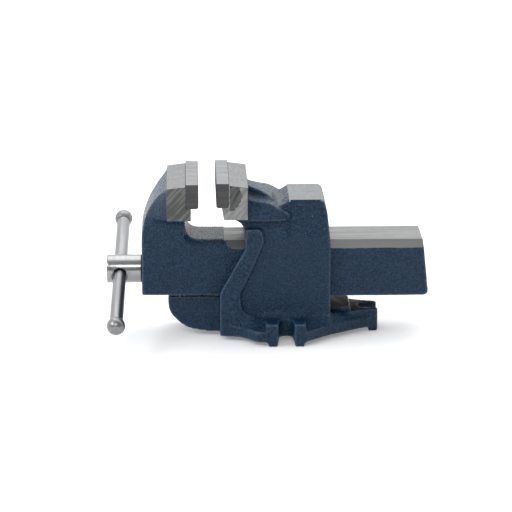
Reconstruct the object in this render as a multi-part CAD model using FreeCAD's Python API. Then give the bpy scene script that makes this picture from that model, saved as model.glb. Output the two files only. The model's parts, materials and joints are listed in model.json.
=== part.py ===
import FreeCAD, Part
import math
import os

os.makedirs("parts", exist_ok=True)
Vector = FreeCAD.Vector

# A cast-iron engineer's bench vise with a fixed base, in millimetres.
# X runs along the slide and the screw: the handle and the sliding jaw are at -X, the slide's tail at +X.
# Y runs across the jaws, and Z is up from the seat of the base.
# The origin is on the seat, in the middle plane, on the centre line of the two side bolt slots.

# ---------------------------------------------------------------- driving sizes: jaws and jaw plates
JAW_WIDTH = 100.0
PLATE_HEIGHT = 25.0
PLATE_THICKNESS = 12.7
PLATE_CORNER = 2.5
DRAWN_OPENING = 17.6          # between the plates, as the sliding pieces are drawn
OPENING_AT_REST = 17.6        # between the plates, after the sliding pieces have been moved together
FIXED_FACE_X = -70.0          # gripping face of the fixed plate
PLATE_SEAT_RISE = 40.0        # from the top of the slide to the ledge that a plate stands on
SLIDING_JAW_DROP = 0.9        # the sliding jaw hangs this much lower than the fixed one
BLOCK_DEPTH = 19.0            # machined block behind each plate, along X
BLOCK_DROP = 12.4             # how far a machined block reaches below its plate
LEDGE_DEPTH = 5.0             # how far the ledge under a plate stands out from the block
LEDGE_LEAN = 2.0              # the fixed jaw's ledge leans out this much more at its top
BLOCK_FRONT_FALL = 2.0        # the top of a block lies this much under the top of its plate, at the front
BLOCK_BACK_FALL = 4.4         # and this much at the back
SIDE_BEVEL = 1.2              # small ground edge on the blocks

# ---------------------------------------------------------------- driving sizes: slide
SLIDE_WIDTH = 64.0
SLIDE_BOTTOM = 43.2
SLIDE_HEIGHT = 57.6
SLIDE_CHAMFER = 7.3
SLIDE_ROUND = 9.0             # cast edge of the slide
MACHINING_ALLOWANCE = 1.2     # the cast top stands this much above the machined one
SLIDE_WALL = 9.0
SLIDE_ROOF = 13.0
SLIDE_FRONT_X = -145.3
SLIDE_TAIL_X = 145.4
NOSE_START = 0.5              # the round of the nose starts this much under the top of the slide
NOSE_RISE = 18.1              # and meets the back of the block this much above the plate's seat
NOSE_WIDTH = 54.0
HEAD_LEVELS = 20              # outlines that the head is drawn through, from bottom to top
HEAD_INSET = 4.5              # the painted head is this much narrower than the block, on each side
HEAD_LIFT = 1.8               # the cast underside in front of the body is this much higher than the slide's
TAIL_SLOPE = 6.0              # the tail leans back by this much over the height of the slide
TAIL_WALL = 14.0
FRONT_WALL = 24.0
CUTTER_RADIUS = 12.0
CUTTER_MARGIN = 3.2           # from the neck to the uncut metal when the jaws meet
MOUTH_RELIEF_MARGIN = 1.0     # the tunnel's relieved mouth reaches this much past the cut when the jaws meet
GUIDE_CLEARANCE = 0.15        # between the slide and its tunnel, on every side

# ---------------------------------------------------------------- driving sizes: fixed casting
TUNNEL_WALL = 8.0
FLANGE_PROUD = 4.0            # the S-shaped moulding stands this much out of the side panels
FRAME_PROUD = 2.0             # and the frame along the foot of the panel this much
BODY_FRONT_X = -66.6
BODY_REAR_X = 45.4
NECK_X = -41.2                # front of the neck that carries the fixed jaw
THROAT_RADIUS = 13.0
THROAT_RISE = 23.6            # roof of the throat above the slide
ANVIL_FRONT_X = 4.0
ANVIL_REAR_X = 38.5
ANVIL_RISE = 43.6
ANVIL_WIDTH = 64.0
SHOULDER_REAR_X = -8.0
SHOULDER_PROUD = 4.0          # the painted shoulders behind the block stand this much out of the panels
CHIN_FRONT_X = -119.0
CHIN_WIDTH = 54.0
CHIN_BOTTOM = 5.0
CHIN_GAP = 1.2                # between the chin and the underside of the slide

# ---------------------------------------------------------------- driving sizes: base
SKIRT_BOTTOM = 4.5
SKIRT_TOP = 16.0
LUG_TOP = 23.5
LUG_REACH = 25.5              # how far the side lugs stand out of the panels
LUG_LENGTH = 42.0
REAR_LUG_X = 95.5
REAR_LUG_WIDTH = 27.6
REAR_LUG_TOP = 24.2
SLOT_WIDTH = 13.0
SLOT_MOUTH = 16.8
SLOT_DEPTH = 20.5
PAD_LENGTH = 9.8
FLOOR_THICKNESS = 12.0
RIM_WIDTH = 54.0              # the machined rim under the body, on which the base stands with its pads
RIM_LENGTH = 80.0
RIM_WALL = 6.0

# ---------------------------------------------------------------- driving sizes: screw, nut and handle
SCREW_Z = 64.5
SCREW_DIAMETER = 20.0
HEAD_WALL = 6.0               # between the cross hole and the outside of the head
HEAD_FRONT_X = -181.3
HEAD_EDGE = 1.2
HEAD_GAP = 0.3                # between the head and the front of the sliding jaw
SCREW_END_X = 100.0
SCREW_END_CHAMFER = 2.0
THREAD_CLEARANCE = 0.05       # radial, in the nut and in the front wall
HANDLE_X = -167.8
HANDLE_CLEARANCE = 1.9        # radial, in the cross hole
HANDLE_DIAMETER = 13.2
HANDLE_LENGTH = 199.0         # between the centres of the knobs
HANDLE_SHIFT = 3.5            # the bar has slid this much towards its lower end
HANDLE_DROOP = 17.0           # degrees below the horizontal, on the near side
HANDLE_LEAN = 1.25            # degrees that the loose bar leans towards -X, on the near side
KNOB_WALL = 2.5               # round the bar
KNOB_FLAT = 1.3               # turned flat on the end of a knob
KNOB_FIT = 0.01               # between the end of the bar and the bore of a knob
NUT_LENGTH = 50.0
NUT_FRONT_X = -15.0
NUT_WIDTH = 28.0
SPRING_WIRE = 2.7
SPRING_CLEARANCE = 1.15       # between the spring and the screw
SPRING_END_GAP = 0.35         # between the spring and what it presses on, at each end
SPRING_LENGTH = 15.0
SPRING_TURNS = 4.0
WASHER_THICKNESS = 3.0
WASHER_RIM = 5.5              # how far the spring's washer stands out round the screw
COTTER_DIAMETER = 3.0
COTTER_LENGTH = 34.0

# ---------------------------------------------------------------- driving sizes: fasteners
PLATE_SCREW_DIAMETER = 8.0
PLATE_SCREW_HEAD = 15.0
PLATE_SCREW_SPACING = 50.0
PLATE_SCREW_GRIP = 12.0       # length of the screw inside the jaw
PLATE_SCREW_SINK = 0.8        # the heads lie this much under the gripping face
HEX_KEY = 5.0
HEX_KEY_DEPTH = 3.5
NUT_BOLT_DIAMETER = 10.0
NUT_BOLT_HEAD = 17.0          # across flats
NUT_BOLT_HEAD_HEIGHT = 6.5
NUT_BOLT_GRIP = 8.0
NUT_WASHER_THICKNESS = 2.0
FASTENER_CLEARANCE = 0.05

# ---------------------------------------------------------------- sizes that follow from those
HALF_JAW = JAW_WIDTH / 2
HALF_SLIDE = SLIDE_WIDTH / 2
SLIDE_TOP = SLIDE_BOTTOM + SLIDE_HEIGHT
CAST_TOP = SLIDE_TOP + MACHINING_ALLOWANCE
HALF_BODY = HALF_SLIDE + TUNNEL_WALL
HALF_FLANGE = HALF_BODY + FLANGE_PROUD
HALF_SHOULDER = HALF_BODY + SHOULDER_PROUD
HALF_FRAME = HALF_BODY + FRAME_PROUD
HALF_LUG = HALF_BODY + LUG_REACH
HALF_REAR_LUG = REAR_LUG_WIDTH / 2
TUNNEL_BOTTOM = SLIDE_BOTTOM - GUIDE_CLEARANCE
FIXED_SEAT_Z = SLIDE_TOP + PLATE_SEAT_RISE
FIXED_BLOCK_X = FIXED_FACE_X + PLATE_THICKNESS
FIXED_BLOCK_BACK_X = FIXED_BLOCK_X + BLOCK_DEPTH
SLIDING_SEAT_Z = FIXED_SEAT_Z - SLIDING_JAW_DROP
SLIDING_FACE_X = FIXED_FACE_X - DRAWN_OPENING
SLIDING_BLOCK_X = SLIDING_FACE_X - PLATE_THICKNESS
SLIDING_BLOCK_BACK_X = SLIDING_BLOCK_X - BLOCK_DEPTH
ANVIL_TOP = SLIDE_TOP + ANVIL_RISE
THROAT_TOP = SLIDE_TOP + THROAT_RISE
CHIN_TOP = SLIDE_BOTTOM - CHIN_GAP
MACHINED_START_X = NECK_X - DRAWN_OPENING - CUTTER_MARGIN
MOUTH_RELIEF_X = MACHINED_START_X + CUTTER_RADIUS + DRAWN_OPENING + MOUTH_RELIEF_MARGIN
HOLLOW_FRONT_X = SLIDE_FRONT_X + FRONT_WALL
HOLLOW_REAR_X = SLIDE_TAIL_X - TAIL_SLOPE - TAIL_WALL
CAVITY_TOP = TUNNEL_BOTTOM - FLOOR_THICKNESS
WASHER_X = HOLLOW_FRONT_X + SPRING_LENGTH
COTTER_X = WASHER_X + WASHER_THICKNESS + COTTER_DIAMETER / 2 + FASTENER_CLEARANCE
NUT_CENTRE_X = NUT_FRONT_X + NUT_LENGTH / 2
HANDLE_HOLE_DIAMETER = HANDLE_DIAMETER + 2 * HANDLE_CLEARANCE
HEAD_DIAMETER = HANDLE_HOLE_DIAMETER + 2 * HEAD_WALL
KNOB_DIAMETER = HANDLE_DIAMETER + 2 * KNOB_WALL
HALF_NUT = NUT_WIDTH / 2


# ---------------------------------------------------------------- outlines and prisms
def rounded_wire(corners, place):
    """A closed outline through corners (a, b) or (a, b, radius); place(a, b) gives the point in space."""
    flat = [Vector(corner[0], corner[1], 0) for corner in corners]
    radii = [corner[2] if len(corner) > 2 else 0.0 for corner in corners]
    count = len(flat)
    half_angles = []
    setbacks = []
    for i in range(count):
        half_angle = (flat[i - 1] - flat[i]).getAngle(flat[(i + 1) % count] - flat[i]) / 2
        half_angles.append(half_angle)
        setbacks.append(radii[i] / math.tan(half_angle))
    fits = [1.0] * count
    for i in range(count):
        following = (i + 1) % count
        wanted = setbacks[i] + setbacks[following]
        room = 0.98 * (flat[following] - flat[i]).Length
        if wanted > room:
            fits[i] = min(fits[i], room / wanted)
            fits[following] = min(fits[following], room / wanted)
    cuts = []
    for i in range(count):
        here = flat[i]
        towards_last = flat[i - 1] - here
        towards_next = flat[(i + 1) % count] - here
        half_angle = half_angles[i]
        setback = setbacks[i] * fits[i]
        if setback < 0.01:
            cuts.append((here, here, here))
            continue
        towards_last.normalize()
        towards_next.normalize()
        radius = setback * math.tan(half_angle)
        inward = towards_last + towards_next
        inward.normalize()
        middle = here + inward * (radius / math.sin(half_angle) - radius)
        cuts.append((here + towards_last * setback, middle, here + towards_next * setback))
    edges = []
    for i in range(count):
        start, middle, end = [place(p.x, p.y) for p in cuts[i]]
        if start.distanceToPoint(end) > 1e-6:
            edges.append(Part.Arc(start, middle, end).toShape())
        following = cuts[(i + 1) % count][0]
        after = place(following.x, following.y)
        if end.distanceToPoint(after) > 1e-6:
            edges.append(Part.makeLine(end, after))
    return Part.Wire(edges)


def side_prism(corners, half_width):
    """An outline in X and Z, as wide as the casting is there, across the middle plane."""
    wire = rounded_wire(corners, lambda a, b: Vector(a, -half_width, b))
    return Part.Face(wire).extrude(Vector(0, 2 * half_width, 0))


def plan_prism(corners, bottom, top):
    """An outline in X and Y, from bottom to top."""
    wire = rounded_wire(corners, lambda a, b: Vector(a, b, bottom))
    return Part.Face(wire).extrude(Vector(0, 0, top - bottom))


def end_prism(corners, start_x, end_x):
    """An outline in Y and Z, from start_x to end_x."""
    wire = rounded_wire(corners, lambda a, b: Vector(start_x, a, b))
    return Part.Face(wire).extrude(Vector(end_x - start_x, 0, 0))


def both_sides(half):
    """The corners of one side, from front to rear at -Y, closed by their mirror images at +Y."""
    other = [(corner[0], -corner[1]) + tuple(corner[2:]) for corner in reversed(half)]
    return half + other


def block(low, high):
    """A box between two opposite corners."""
    size = [b - a for a, b in zip(low, high)]
    return Part.makeBox(size[0], size[1], size[2], Vector(*low))


def rod(radius, start, end):
    """A round bar between two points."""
    start = Vector(*start)
    along = Vector(*end) - start
    return Part.makeCylinder(radius, along.Length, start, along)


def mirrored(shape):
    """A shape and its mirror image across the middle plane."""
    return shape.fuse(shape.mirror(Vector(0, 0, 0), Vector(0, 1, 0)))


def joined(shapes):
    """One solid from shapes that overlap."""
    whole = shapes[0].fuse(shapes[1:]).removeSplitter()
    return whole.Solids[0] if len(whole.Solids) == 1 else whole


# ---------------------------------------------------------------- jaw plates and their screws
def plate_screw_places(face_x, seat_z, into):
    """The mouth of each countersunk hole, on the gripping face, and the direction into the jaw."""
    middle_z = seat_z + PLATE_HEIGHT / 2
    half_spacing = PLATE_SCREW_SPACING / 2
    return [(Vector(face_x, y, middle_z), Vector(into, 0, 0)) for y in (-half_spacing, half_spacing)]


def countersunk(place, into, gap):
    """Head and shank of one plate screw, wider by gap all round."""
    head_radius = PLATE_SCREW_HEAD / 2 + gap
    shank_radius = PLATE_SCREW_DIAMETER / 2 + gap
    head_depth = head_radius - shank_radius
    length = PLATE_THICKNESS + PLATE_SCREW_GRIP + gap
    cone = Part.makeCone(head_radius, shank_radius, head_depth, place, into)
    return cone.fuse(Part.makeCylinder(shank_radius, length, place, into)).removeSplitter()


def plate_screw_hole(place, into):
    """Room for one plate screw, open at the gripping face."""
    mouth_radius = PLATE_SCREW_HEAD / 2 + FASTENER_CLEARANCE
    mouth = Part.makeCylinder(mouth_radius, PLATE_SCREW_SINK, place, into)
    return countersunk(place + into * PLATE_SCREW_SINK, into, FASTENER_CLEARANCE).fuse(mouth)


def jaw_plate(face_x, seat_z, into):
    low_x = min(face_x, face_x + into * PLATE_THICKNESS)
    corners = [
        (low_x, seat_z, PLATE_CORNER),
        (low_x, seat_z + PLATE_HEIGHT),
        (low_x + PLATE_THICKNESS, seat_z + PLATE_HEIGHT),
        (low_x + PLATE_THICKNESS, seat_z, PLATE_CORNER),
    ]
    plate = side_prism(corners, HALF_JAW)
    for place, direction in plate_screw_places(face_x, seat_z, into):
        plate = plate.cut(plate_screw_hole(place, direction))
    return plate.Solids[0]


def plate_screws(face_x, seat_z, into):
    """The two screws of one plate, each with a hexagon socket, a little under the gripping face."""
    screws = []
    for place, direction in plate_screw_places(face_x, seat_z, into):
        screw = countersunk(place + direction * PLATE_SCREW_SINK, direction, 0.0)
        key = Part.Face(hexagon(HEX_KEY, place)).extrude(direction * (PLATE_SCREW_SINK + HEX_KEY_DEPTH))
        screws.append(screw.cut(key).Solids[0])
    return Part.makeCompound(screws)


def hexagon(across_flats, centre):
    """A hexagon across X."""
    radius = across_flats / math.sqrt(3)
    turns = [math.radians(60 * i) for i in range(7)]
    return Part.makePolygon([centre + Vector(0, radius * math.cos(a), radius * math.sin(a)) for a in turns])


# ---------------------------------------------------------------- fixed casting
def machined_block(face_x, back_x, seat_z, lean):
    """The bare block behind a plate, with the ledge that the plate stands on; its top falls to the back."""
    out = -1 if back_x > face_x else 1
    bottom = seat_z - BLOCK_DROP
    ledge_x = face_x + out * LEDGE_DEPTH
    corners = [
        (face_x, seat_z),
        (ledge_x + out * lean, seat_z, 1.0),
        (ledge_x, bottom, SIDE_BEVEL),
        (back_x, bottom),
        (back_x, seat_z + PLATE_HEIGHT - BLOCK_BACK_FALL, SIDE_BEVEL),
        (face_x, seat_z + PLATE_HEIGHT - BLOCK_FRONT_FALL),
    ]
    return side_prism(corners, HALF_JAW)


def fixed_head():
    """Machined block, the painted shoulders behind it and the web that runs back to the anvil."""
    shoulder_bottom = FIXED_SEAT_Z - BLOCK_DROP - 3.2
    shoulder_side = [
        (FIXED_BLOCK_BACK_X - 6, shoulder_bottom),
        (FIXED_BLOCK_BACK_X - 6, FIXED_SEAT_Z + 7.4),
        (FIXED_BLOCK_BACK_X + 0.3, FIXED_SEAT_Z + 7.4),
        (FIXED_BLOCK_BACK_X + 5, FIXED_SEAT_Z + 5.2, 8),
        (SHOULDER_REAR_X - 8, FIXED_SEAT_Z + 2.4, 18),
        (SHOULDER_REAR_X + 6, FIXED_SEAT_Z - 5.5, 14),
        (SHOULDER_REAR_X + 21, FIXED_SEAT_Z - 13.5, 4),
        (SHOULDER_REAR_X + 6, shoulder_bottom),
    ]
    shoulder_plan = both_sides([
        (FIXED_BLOCK_BACK_X - 7, -HALF_SHOULDER),
        (SHOULDER_REAR_X, -HALF_SHOULDER, 30),
        (SHOULDER_REAR_X + 24, -HALF_BODY + 1, 3),
    ])
    shoulder_end = [
        (-HALF_SHOULDER, shoulder_bottom - 1),
        (-HALF_SHOULDER, FIXED_SEAT_Z - 3, 6),
        (-HALF_SHOULDER + 5, FIXED_SEAT_Z + 8),
        (HALF_SHOULDER - 5, FIXED_SEAT_Z + 8),
        (HALF_SHOULDER, FIXED_SEAT_Z - 3, 6),
        (HALF_SHOULDER, shoulder_bottom - 1),
    ]
    tall = plan_prism(shoulder_plan, shoulder_bottom - 1, FIXED_SEAT_Z + PLATE_HEIGHT)
    rounded_top = end_prism(shoulder_end, FIXED_BLOCK_X, BODY_REAR_X)
    shoulders = side_prism(shoulder_side, HALF_SHOULDER + 1).common(tall).common(rounded_top)
    fixed_block = machined_block(FIXED_BLOCK_X, FIXED_BLOCK_BACK_X, FIXED_SEAT_Z, LEDGE_LEAN)
    return [fixed_block, shoulders, fixed_web()]


def fixed_web():
    """The rib that runs down from the back of the block and widens into the saddle before the anvil."""
    stations = [
        # distance behind the block, half width of the rib's top, height of the top above the plate's seat
        (-3.0, 11.5, 15.2),
        (11.5, 16.0, 10.4),
        (19.5, 19.5, 6.6),
        (26.5, 23.0, 1.8),
    ]
    wires = []
    for behind, half_top, rise in stations:
        top = FIXED_SEAT_Z + rise
        x = FIXED_BLOCK_BACK_X + behind
        section = [
            (-half_top - 4, FIXED_SEAT_Z - 8),
            (-half_top, top),
            (half_top, top),
            (half_top + 4, FIXED_SEAT_Z - 8),
        ]
        wires.append(rounded_wire(section, lambda a, b, x=x: Vector(x, a, b)))
    return Part.makeLoft(wires, True, True)


def fixed_core():
    """The box round the tunnel, the neck, the web and the anvil, narrower towards the anvil."""
    half_anvil = ANVIL_WIDTH / 2
    profile = [
        (BODY_FRONT_X, SKIRT_BOTTOM),
        (BODY_FRONT_X, SLIDE_BOTTOM + 7, 14),
        (NECK_X, SLIDE_TOP - 5, 6),
        (NECK_X, THROAT_TOP, THROAT_RADIUS),
        (FIXED_BLOCK_X - LEDGE_DEPTH + 0.4, THROAT_TOP + 0.8, 1.5),
        (FIXED_BLOCK_X - LEDGE_DEPTH + 0.4, FIXED_SEAT_Z - BLOCK_DROP + 3),
        (FIXED_BLOCK_X + 6, FIXED_SEAT_Z - BLOCK_DROP + 3),
        (FIXED_BLOCK_X + 6, FIXED_SEAT_Z + 4.4),
        (FIXED_BLOCK_BACK_X + 16, FIXED_SEAT_Z + 2.6, 16),
        (ANVIL_FRONT_X - 9, ANVIL_TOP - 6.8, 10),
        (ANVIL_FRONT_X, ANVIL_TOP, 0.5),
        (ANVIL_REAR_X, ANVIL_TOP, 5),
        (BODY_REAR_X - 3.2, ANVIL_TOP - 14, 12),
        (BODY_REAR_X, SLIDE_TOP - 4, 16),
        (BODY_REAR_X, SKIRT_BOTTOM),
    ]
    taper = [
        (-HALF_BODY, 0),
        (-HALF_BODY, SLIDE_TOP + 13, 30),
        (-half_anvil, ANVIL_TOP, 0),
        (-half_anvil + 5, FIXED_SEAT_Z + PLATE_HEIGHT),
        (half_anvil - 5, FIXED_SEAT_Z + PLATE_HEIGHT),
        (half_anvil, ANVIL_TOP, 0),
        (HALF_BODY, SLIDE_TOP + 13, 30),
        (HALF_BODY, 0),
    ]
    narrowing = end_prism(taper, BODY_FRONT_X - 1, BODY_REAR_X + 1)
    return side_prism(profile, HALF_BODY).common(narrowing)


def s_flange():
    """The S-shaped moulding down the front of both side panels, with its flat pad at the top."""
    outline = [
        (BODY_FRONT_X, SKIRT_BOTTOM),
        (BODY_FRONT_X, SLIDE_BOTTOM + 7, 14),
        (NECK_X, SLIDE_TOP - 5, 6),
        (NECK_X + 1.2, SLIDE_TOP + 16, 2),
        (NECK_X + 16.5, SLIDE_TOP + 16, 5),
        (NECK_X + 19.5, SLIDE_TOP + 4, 14),
        (NECK_X + 9.2, SLIDE_TOP - 23, 60),
        (NECK_X - 5.3, SLIDE_BOTTOM + 5, 16),
        (NECK_X - 2.4, SLIDE_BOTTOM - 14, 11),
        (NECK_X + 14, LUG_TOP + 0.5, 8),
        (NECK_X + 24, LUG_TOP + 0.5),
        (NECK_X + 24, SKIRT_BOTTOM),
    ]
    return side_prism(outline, HALF_FLANGE)


def foot_frame():
    """The low frame along the foot of each panel, with a step up behind the bolt slot."""
    half_lug = LUG_LENGTH / 2
    outline = [
        (NECK_X - 8, SKIRT_BOTTOM),
        (NECK_X - 8, LUG_TOP - 2.5, 2),
        (-half_lug - 8, LUG_TOP - 2.5, 6),
        (-half_lug + 1, LUG_TOP + 5, 4),
        (half_lug - 3, LUG_TOP + 5, 4),
        (half_lug + 2, LUG_TOP + 1, 5),
        (BODY_REAR_X, LUG_TOP + 3.5),
        (BODY_REAR_X, SKIRT_BOTTOM),
    ]
    return side_prism(outline, HALF_FRAME)


def base_outline(inset):
    """Half of the base seen from above, from the front to the end of the rear lug."""
    half_lug = LUG_LENGTH / 2
    return [
        (BODY_FRONT_X, -HALF_FLANGE + inset, 3),
        (NECK_X - 4, -HALF_FLANGE - 3 + inset, 22),
        (-half_lug - 9, -HALF_LUG + inset, 8),
        (half_lug - 1, -HALF_LUG + inset, 4),
        (BODY_REAR_X + 1.5, -HALF_BODY - 1.6 + inset, 24),
        (REAR_LUG_X - 16.5, -HALF_REAR_LUG - 6.4 + inset, 18),
        (REAR_LUG_X, -HALF_REAR_LUG + inset, 2.5),
    ]


def apron():
    """The sloping metal between the upper edge of the skirt and the body."""
    half_lug = LUG_LENGTH / 2
    lower = both_sides([corner[:2] for corner in base_outline(1.5)])
    upper = both_sides([
        (BODY_FRONT_X + 3, -HALF_BODY),
        (NECK_X - 4, -HALF_FRAME),
        (-half_lug - 9, -HALF_FRAME),
        (half_lug - 1, -HALF_FRAME),
        (BODY_REAR_X - 1, -HALF_BODY),
        (BODY_REAR_X + 8, -HALF_BODY + 12),
        (BODY_REAR_X + 14, -HALF_REAR_LUG),
    ])
    low_wire = rounded_wire(lower, lambda a, b: Vector(a, b, SKIRT_TOP - 1))
    high_wire = rounded_wire(upper, lambda a, b: Vector(a, b, LUG_TOP + 1.5))
    return Part.makeLoft([low_wire, high_wire], True, True)


def rim_box(inset, bottom, top):
    """The seat rim's box, smaller all round by inset."""
    half_length = RIM_LENGTH / 2 - inset
    half_width = RIM_WIDTH / 2 - inset
    return block((-half_length, -half_width, bottom), (half_length, half_width, top))


def base_solids():
    """Skirt, lugs, the pads under the lugs, the seat rim and the platform under the slide's tail."""
    half_lug = LUG_LENGTH / 2
    skirt = plan_prism(both_sides(base_outline(0)), SKIRT_BOTTOM, SKIRT_TOP)
    side_lug = [
        (-half_lug, -HALF_BODY + 6),
        (-half_lug, -HALF_LUG, 3),
        (half_lug - 1, -HALF_LUG, 3),
        (half_lug - 1, -HALF_BODY + 6),
    ]
    lug = plan_prism(side_lug, SKIRT_BOTTOM, LUG_TOP)
    rear_lug = plan_prism(both_sides([
        (BODY_REAR_X + 12, -HALF_REAR_LUG - 14, 8),
        (REAR_LUG_X - 16.5, -HALF_REAR_LUG - 4.2, 18),
        (REAR_LUG_X, -HALF_REAR_LUG, 2.5),
    ]), SKIRT_BOTTOM, REAR_LUG_TOP)
    platform = plan_prism(both_sides([
        (BODY_REAR_X - 2, -HALF_REAR_LUG - 8),
        (BODY_REAR_X + 21.5, -HALF_REAR_LUG - 8, 8),
    ]), SKIRT_BOTTOM, REAR_LUG_TOP + 4.8)
    pads = []
    for side in (-1, 1):
        near_x = side * (SLOT_MOUTH / 2)
        far_x = side * (SLOT_MOUTH / 2 + PAD_LENGTH)
        low_x, high_x = min(near_x, far_x), max(near_x, far_x)
        pads.append(block((low_x, -HALF_LUG, 0), (high_x, -HALF_LUG + SLOT_DEPTH, SKIRT_BOTTOM + 1)))
    rear_pad = block(
        (REAR_LUG_X - PAD_LENGTH, -HALF_REAR_LUG, 0),
        (REAR_LUG_X, -SLOT_MOUTH / 2, SKIRT_BOTTOM + 1),
    )
    rim = rim_box(0, 0, SKIRT_BOTTOM + 1)
    all_pads = [mirrored(pads[0]), mirrored(pads[1]), mirrored(rear_pad)]
    return [skirt, mirrored(lug), rear_lug, platform] + all_pads + [rim]


def bolt_slots():
    """The three open slots, cut right through: two at the sides and one at the rear."""
    half = SLOT_WIDTH / 2
    half_mouth = SLOT_MOUTH / 2
    inner_y = -HALF_LUG + SLOT_DEPTH - half
    side = plan_prism([
        (-half, inner_y + half, half * 0.99),
        (-half, inner_y),
        (-half_mouth, -HALF_LUG - 1),
        (half_mouth, -HALF_LUG - 1),
        (half, inner_y),
        (half, inner_y + half, half * 0.99),
    ], -1, LUG_TOP + 1)
    inner_x = REAR_LUG_X - SLOT_DEPTH + half
    rear = plan_prism([
        (inner_x - half, -half, half * 0.99),
        (inner_x, -half),
        (REAR_LUG_X + 1, -half_mouth),
        (REAR_LUG_X + 1, half_mouth),
        (inner_x, half),
        (inner_x - half, half, half * 0.99),
    ], -1, REAR_LUG_TOP + 1)
    return [mirrored(side), rear]


def chin():
    """The rounded tongue under the sliding jaw."""
    outline = [
        (BODY_FRONT_X + 8, CHIN_TOP),
        (CHIN_FRONT_X, CHIN_TOP, 1.5),
        (CHIN_FRONT_X + 0.5, CHIN_BOTTOM + 22, 18),
        (CHIN_FRONT_X + 16, CHIN_BOTTOM + 4, 36),
        (CHIN_FRONT_X + 41, CHIN_BOTTOM, 20),
        (BODY_FRONT_X + 8, CHIN_BOTTOM),
    ]
    return side_prism(outline, CHIN_WIDTH / 2)


def slide_section(gap):
    """Machined section of the slide in Y and Z, larger by gap on every side."""
    half = HALF_SLIDE + gap
    low = SLIDE_BOTTOM - gap
    high = SLIDE_TOP + gap
    return [
        (-half, low),
        (-half, high - SLIDE_CHAMFER),
        (-half + SLIDE_CHAMFER, high),
        (half - SLIDE_CHAMFER, high),
        (half, high - SLIDE_CHAMFER),
        (half, low),
    ]


def fixed_jaw_body():
    solids = [fixed_core(), s_flange(), foot_frame(), apron(), chin()] + fixed_head() + base_solids()
    body = joined(solids)
    tunnel = end_prism(slide_section(GUIDE_CLEARANCE), BODY_FRONT_X - 5, BODY_REAR_X + 30)
    mouth_relief = block(
        (BODY_FRONT_X - 5, -HALF_SLIDE - GUIDE_CLEARANCE, SLIDE_TOP - SLIDE_CHAMFER - 1),
        (MOUTH_RELIEF_X, HALF_SLIDE + GUIDE_CLEARANCE, SLIDE_TOP + GUIDE_CLEARANCE),
    )
    cavity = rim_box(RIM_WALL, -1, CAVITY_TOP)
    bolt_hole = rod(
        NUT_BOLT_DIAMETER / 2 + FASTENER_CLEARANCE,
        (NUT_CENTRE_X, 0, CAVITY_TOP - 1),
        (NUT_CENTRE_X, 0, TUNNEL_BOTTOM + 1),
    )
    screw_places = plate_screw_places(FIXED_FACE_X, FIXED_SEAT_Z, 1)
    holes = [plate_screw_hole(place, into) for place, into in screw_places]
    for cutter in [tunnel, mouth_relief, cavity, bolt_hole] + bolt_slots() + holes:
        body = body.cut(cutter)
    return body.removeSplitter().Solids[0]


# ---------------------------------------------------------------- sliding casting
def nose_x(height):
    """Front of the jaw head at a height: upright at first, then a round that leans back to the block."""
    start = SLIDE_TOP - NOSE_START
    if height <= start:
        return SLIDE_FRONT_X
    run = SLIDING_BLOCK_BACK_X - SLIDE_FRONT_X
    rise = SLIDING_SEAT_Z + NOSE_RISE - start
    radius = (run * run + rise * rise) / (2 * run)
    return SLIDE_FRONT_X + radius - math.sqrt(radius * radius - (height - start) ** 2)


def eased(knots, height):
    """Values at a height on smooth curves through knots (height, value, value)."""
    last = len(knots) - 1
    below = max(i for i in range(last) if knots[i][0] <= height + 1e-6)
    start, end = knots[below], knots[below + 1]
    before, after = knots[max(below - 1, 0)], knots[min(below + 2, last)]
    step = end[0] - start[0]
    t = (height - start[0]) / step
    values = []
    for k in range(1, len(start)):
        slope_in = (end[k] - before[k]) / (end[0] - before[0]) * step
        slope_out = (after[k] - start[k]) / (after[0] - start[0]) * step
        values.append((2 * t ** 3 - 3 * t ** 2 + 1) * start[k] + (t ** 3 - 2 * t ** 2 + t) * slope_in
                      + (3 * t ** 2 - 2 * t ** 3) * end[k] + (t ** 3 - t ** 2) * slope_out)
    return values


def jaw_head():
    """The painted head of the sliding jaw: a narrow nose that widens to the machined block."""
    front_x = SLIDING_BLOCK_X - 1.0
    back_x = SLIDING_BLOCK_BACK_X
    block_bottom = SLIDING_SEAT_Z - BLOCK_DROP
    half_head = HALF_JAW - HEAD_INSET
    half_nose = NOSE_WIDTH / 2
    top = SLIDING_SEAT_Z + NOSE_RISE
    knots = [
        # height, half width of the nose, half width at the block
        (SLIDE_TOP - 5.0, HALF_SLIDE - 1.0, HALF_SLIDE + 0.2),
        (SLIDE_TOP + 7.0, HALF_SLIDE - 1.6, HALF_SLIDE + 0.4),
        (block_bottom - 10.0, half_nose + 2.0, HALF_SLIDE + 1.4),
        (block_bottom - 5.0, half_nose, HALF_SLIDE + 5.0),
        (block_bottom, half_nose - 0.8, half_head),
        (block_bottom + 7.0, half_nose, half_head),
        (block_bottom + 14.5, half_nose + 1.8, half_head),
        (SLIDING_SEAT_Z + 8.5, half_nose + 6.0, half_head),
        (SLIDING_SEAT_Z + 14.5, half_nose + 11.0, half_head),
        (top, half_nose + 17.5, half_head),
    ]
    wires = []
    for i in range(HEAD_LEVELS + 1):
        height = knots[0][0] + (top - knots[0][0]) * i / HEAD_LEVELS
        nose_half, block_half = eased(knots, height)
        block_half = min(block_half, half_head)
        nose = min(nose_x(height), back_x - 0.4)
        side_x = nose + 0.55 * (back_x - nose)
        side_half = nose_half + 0.62 * (block_half - nose_half)
        half = [
            (nose, -nose_half),
            (side_x, -side_half),
            (back_x, -block_half),
            (front_x, -block_half),
        ]
        wires.append(rounded_wire(both_sides(half), lambda a, b, z=height: Vector(a, b, z)))
    return Part.makeLoft(wires, True, True)


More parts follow.
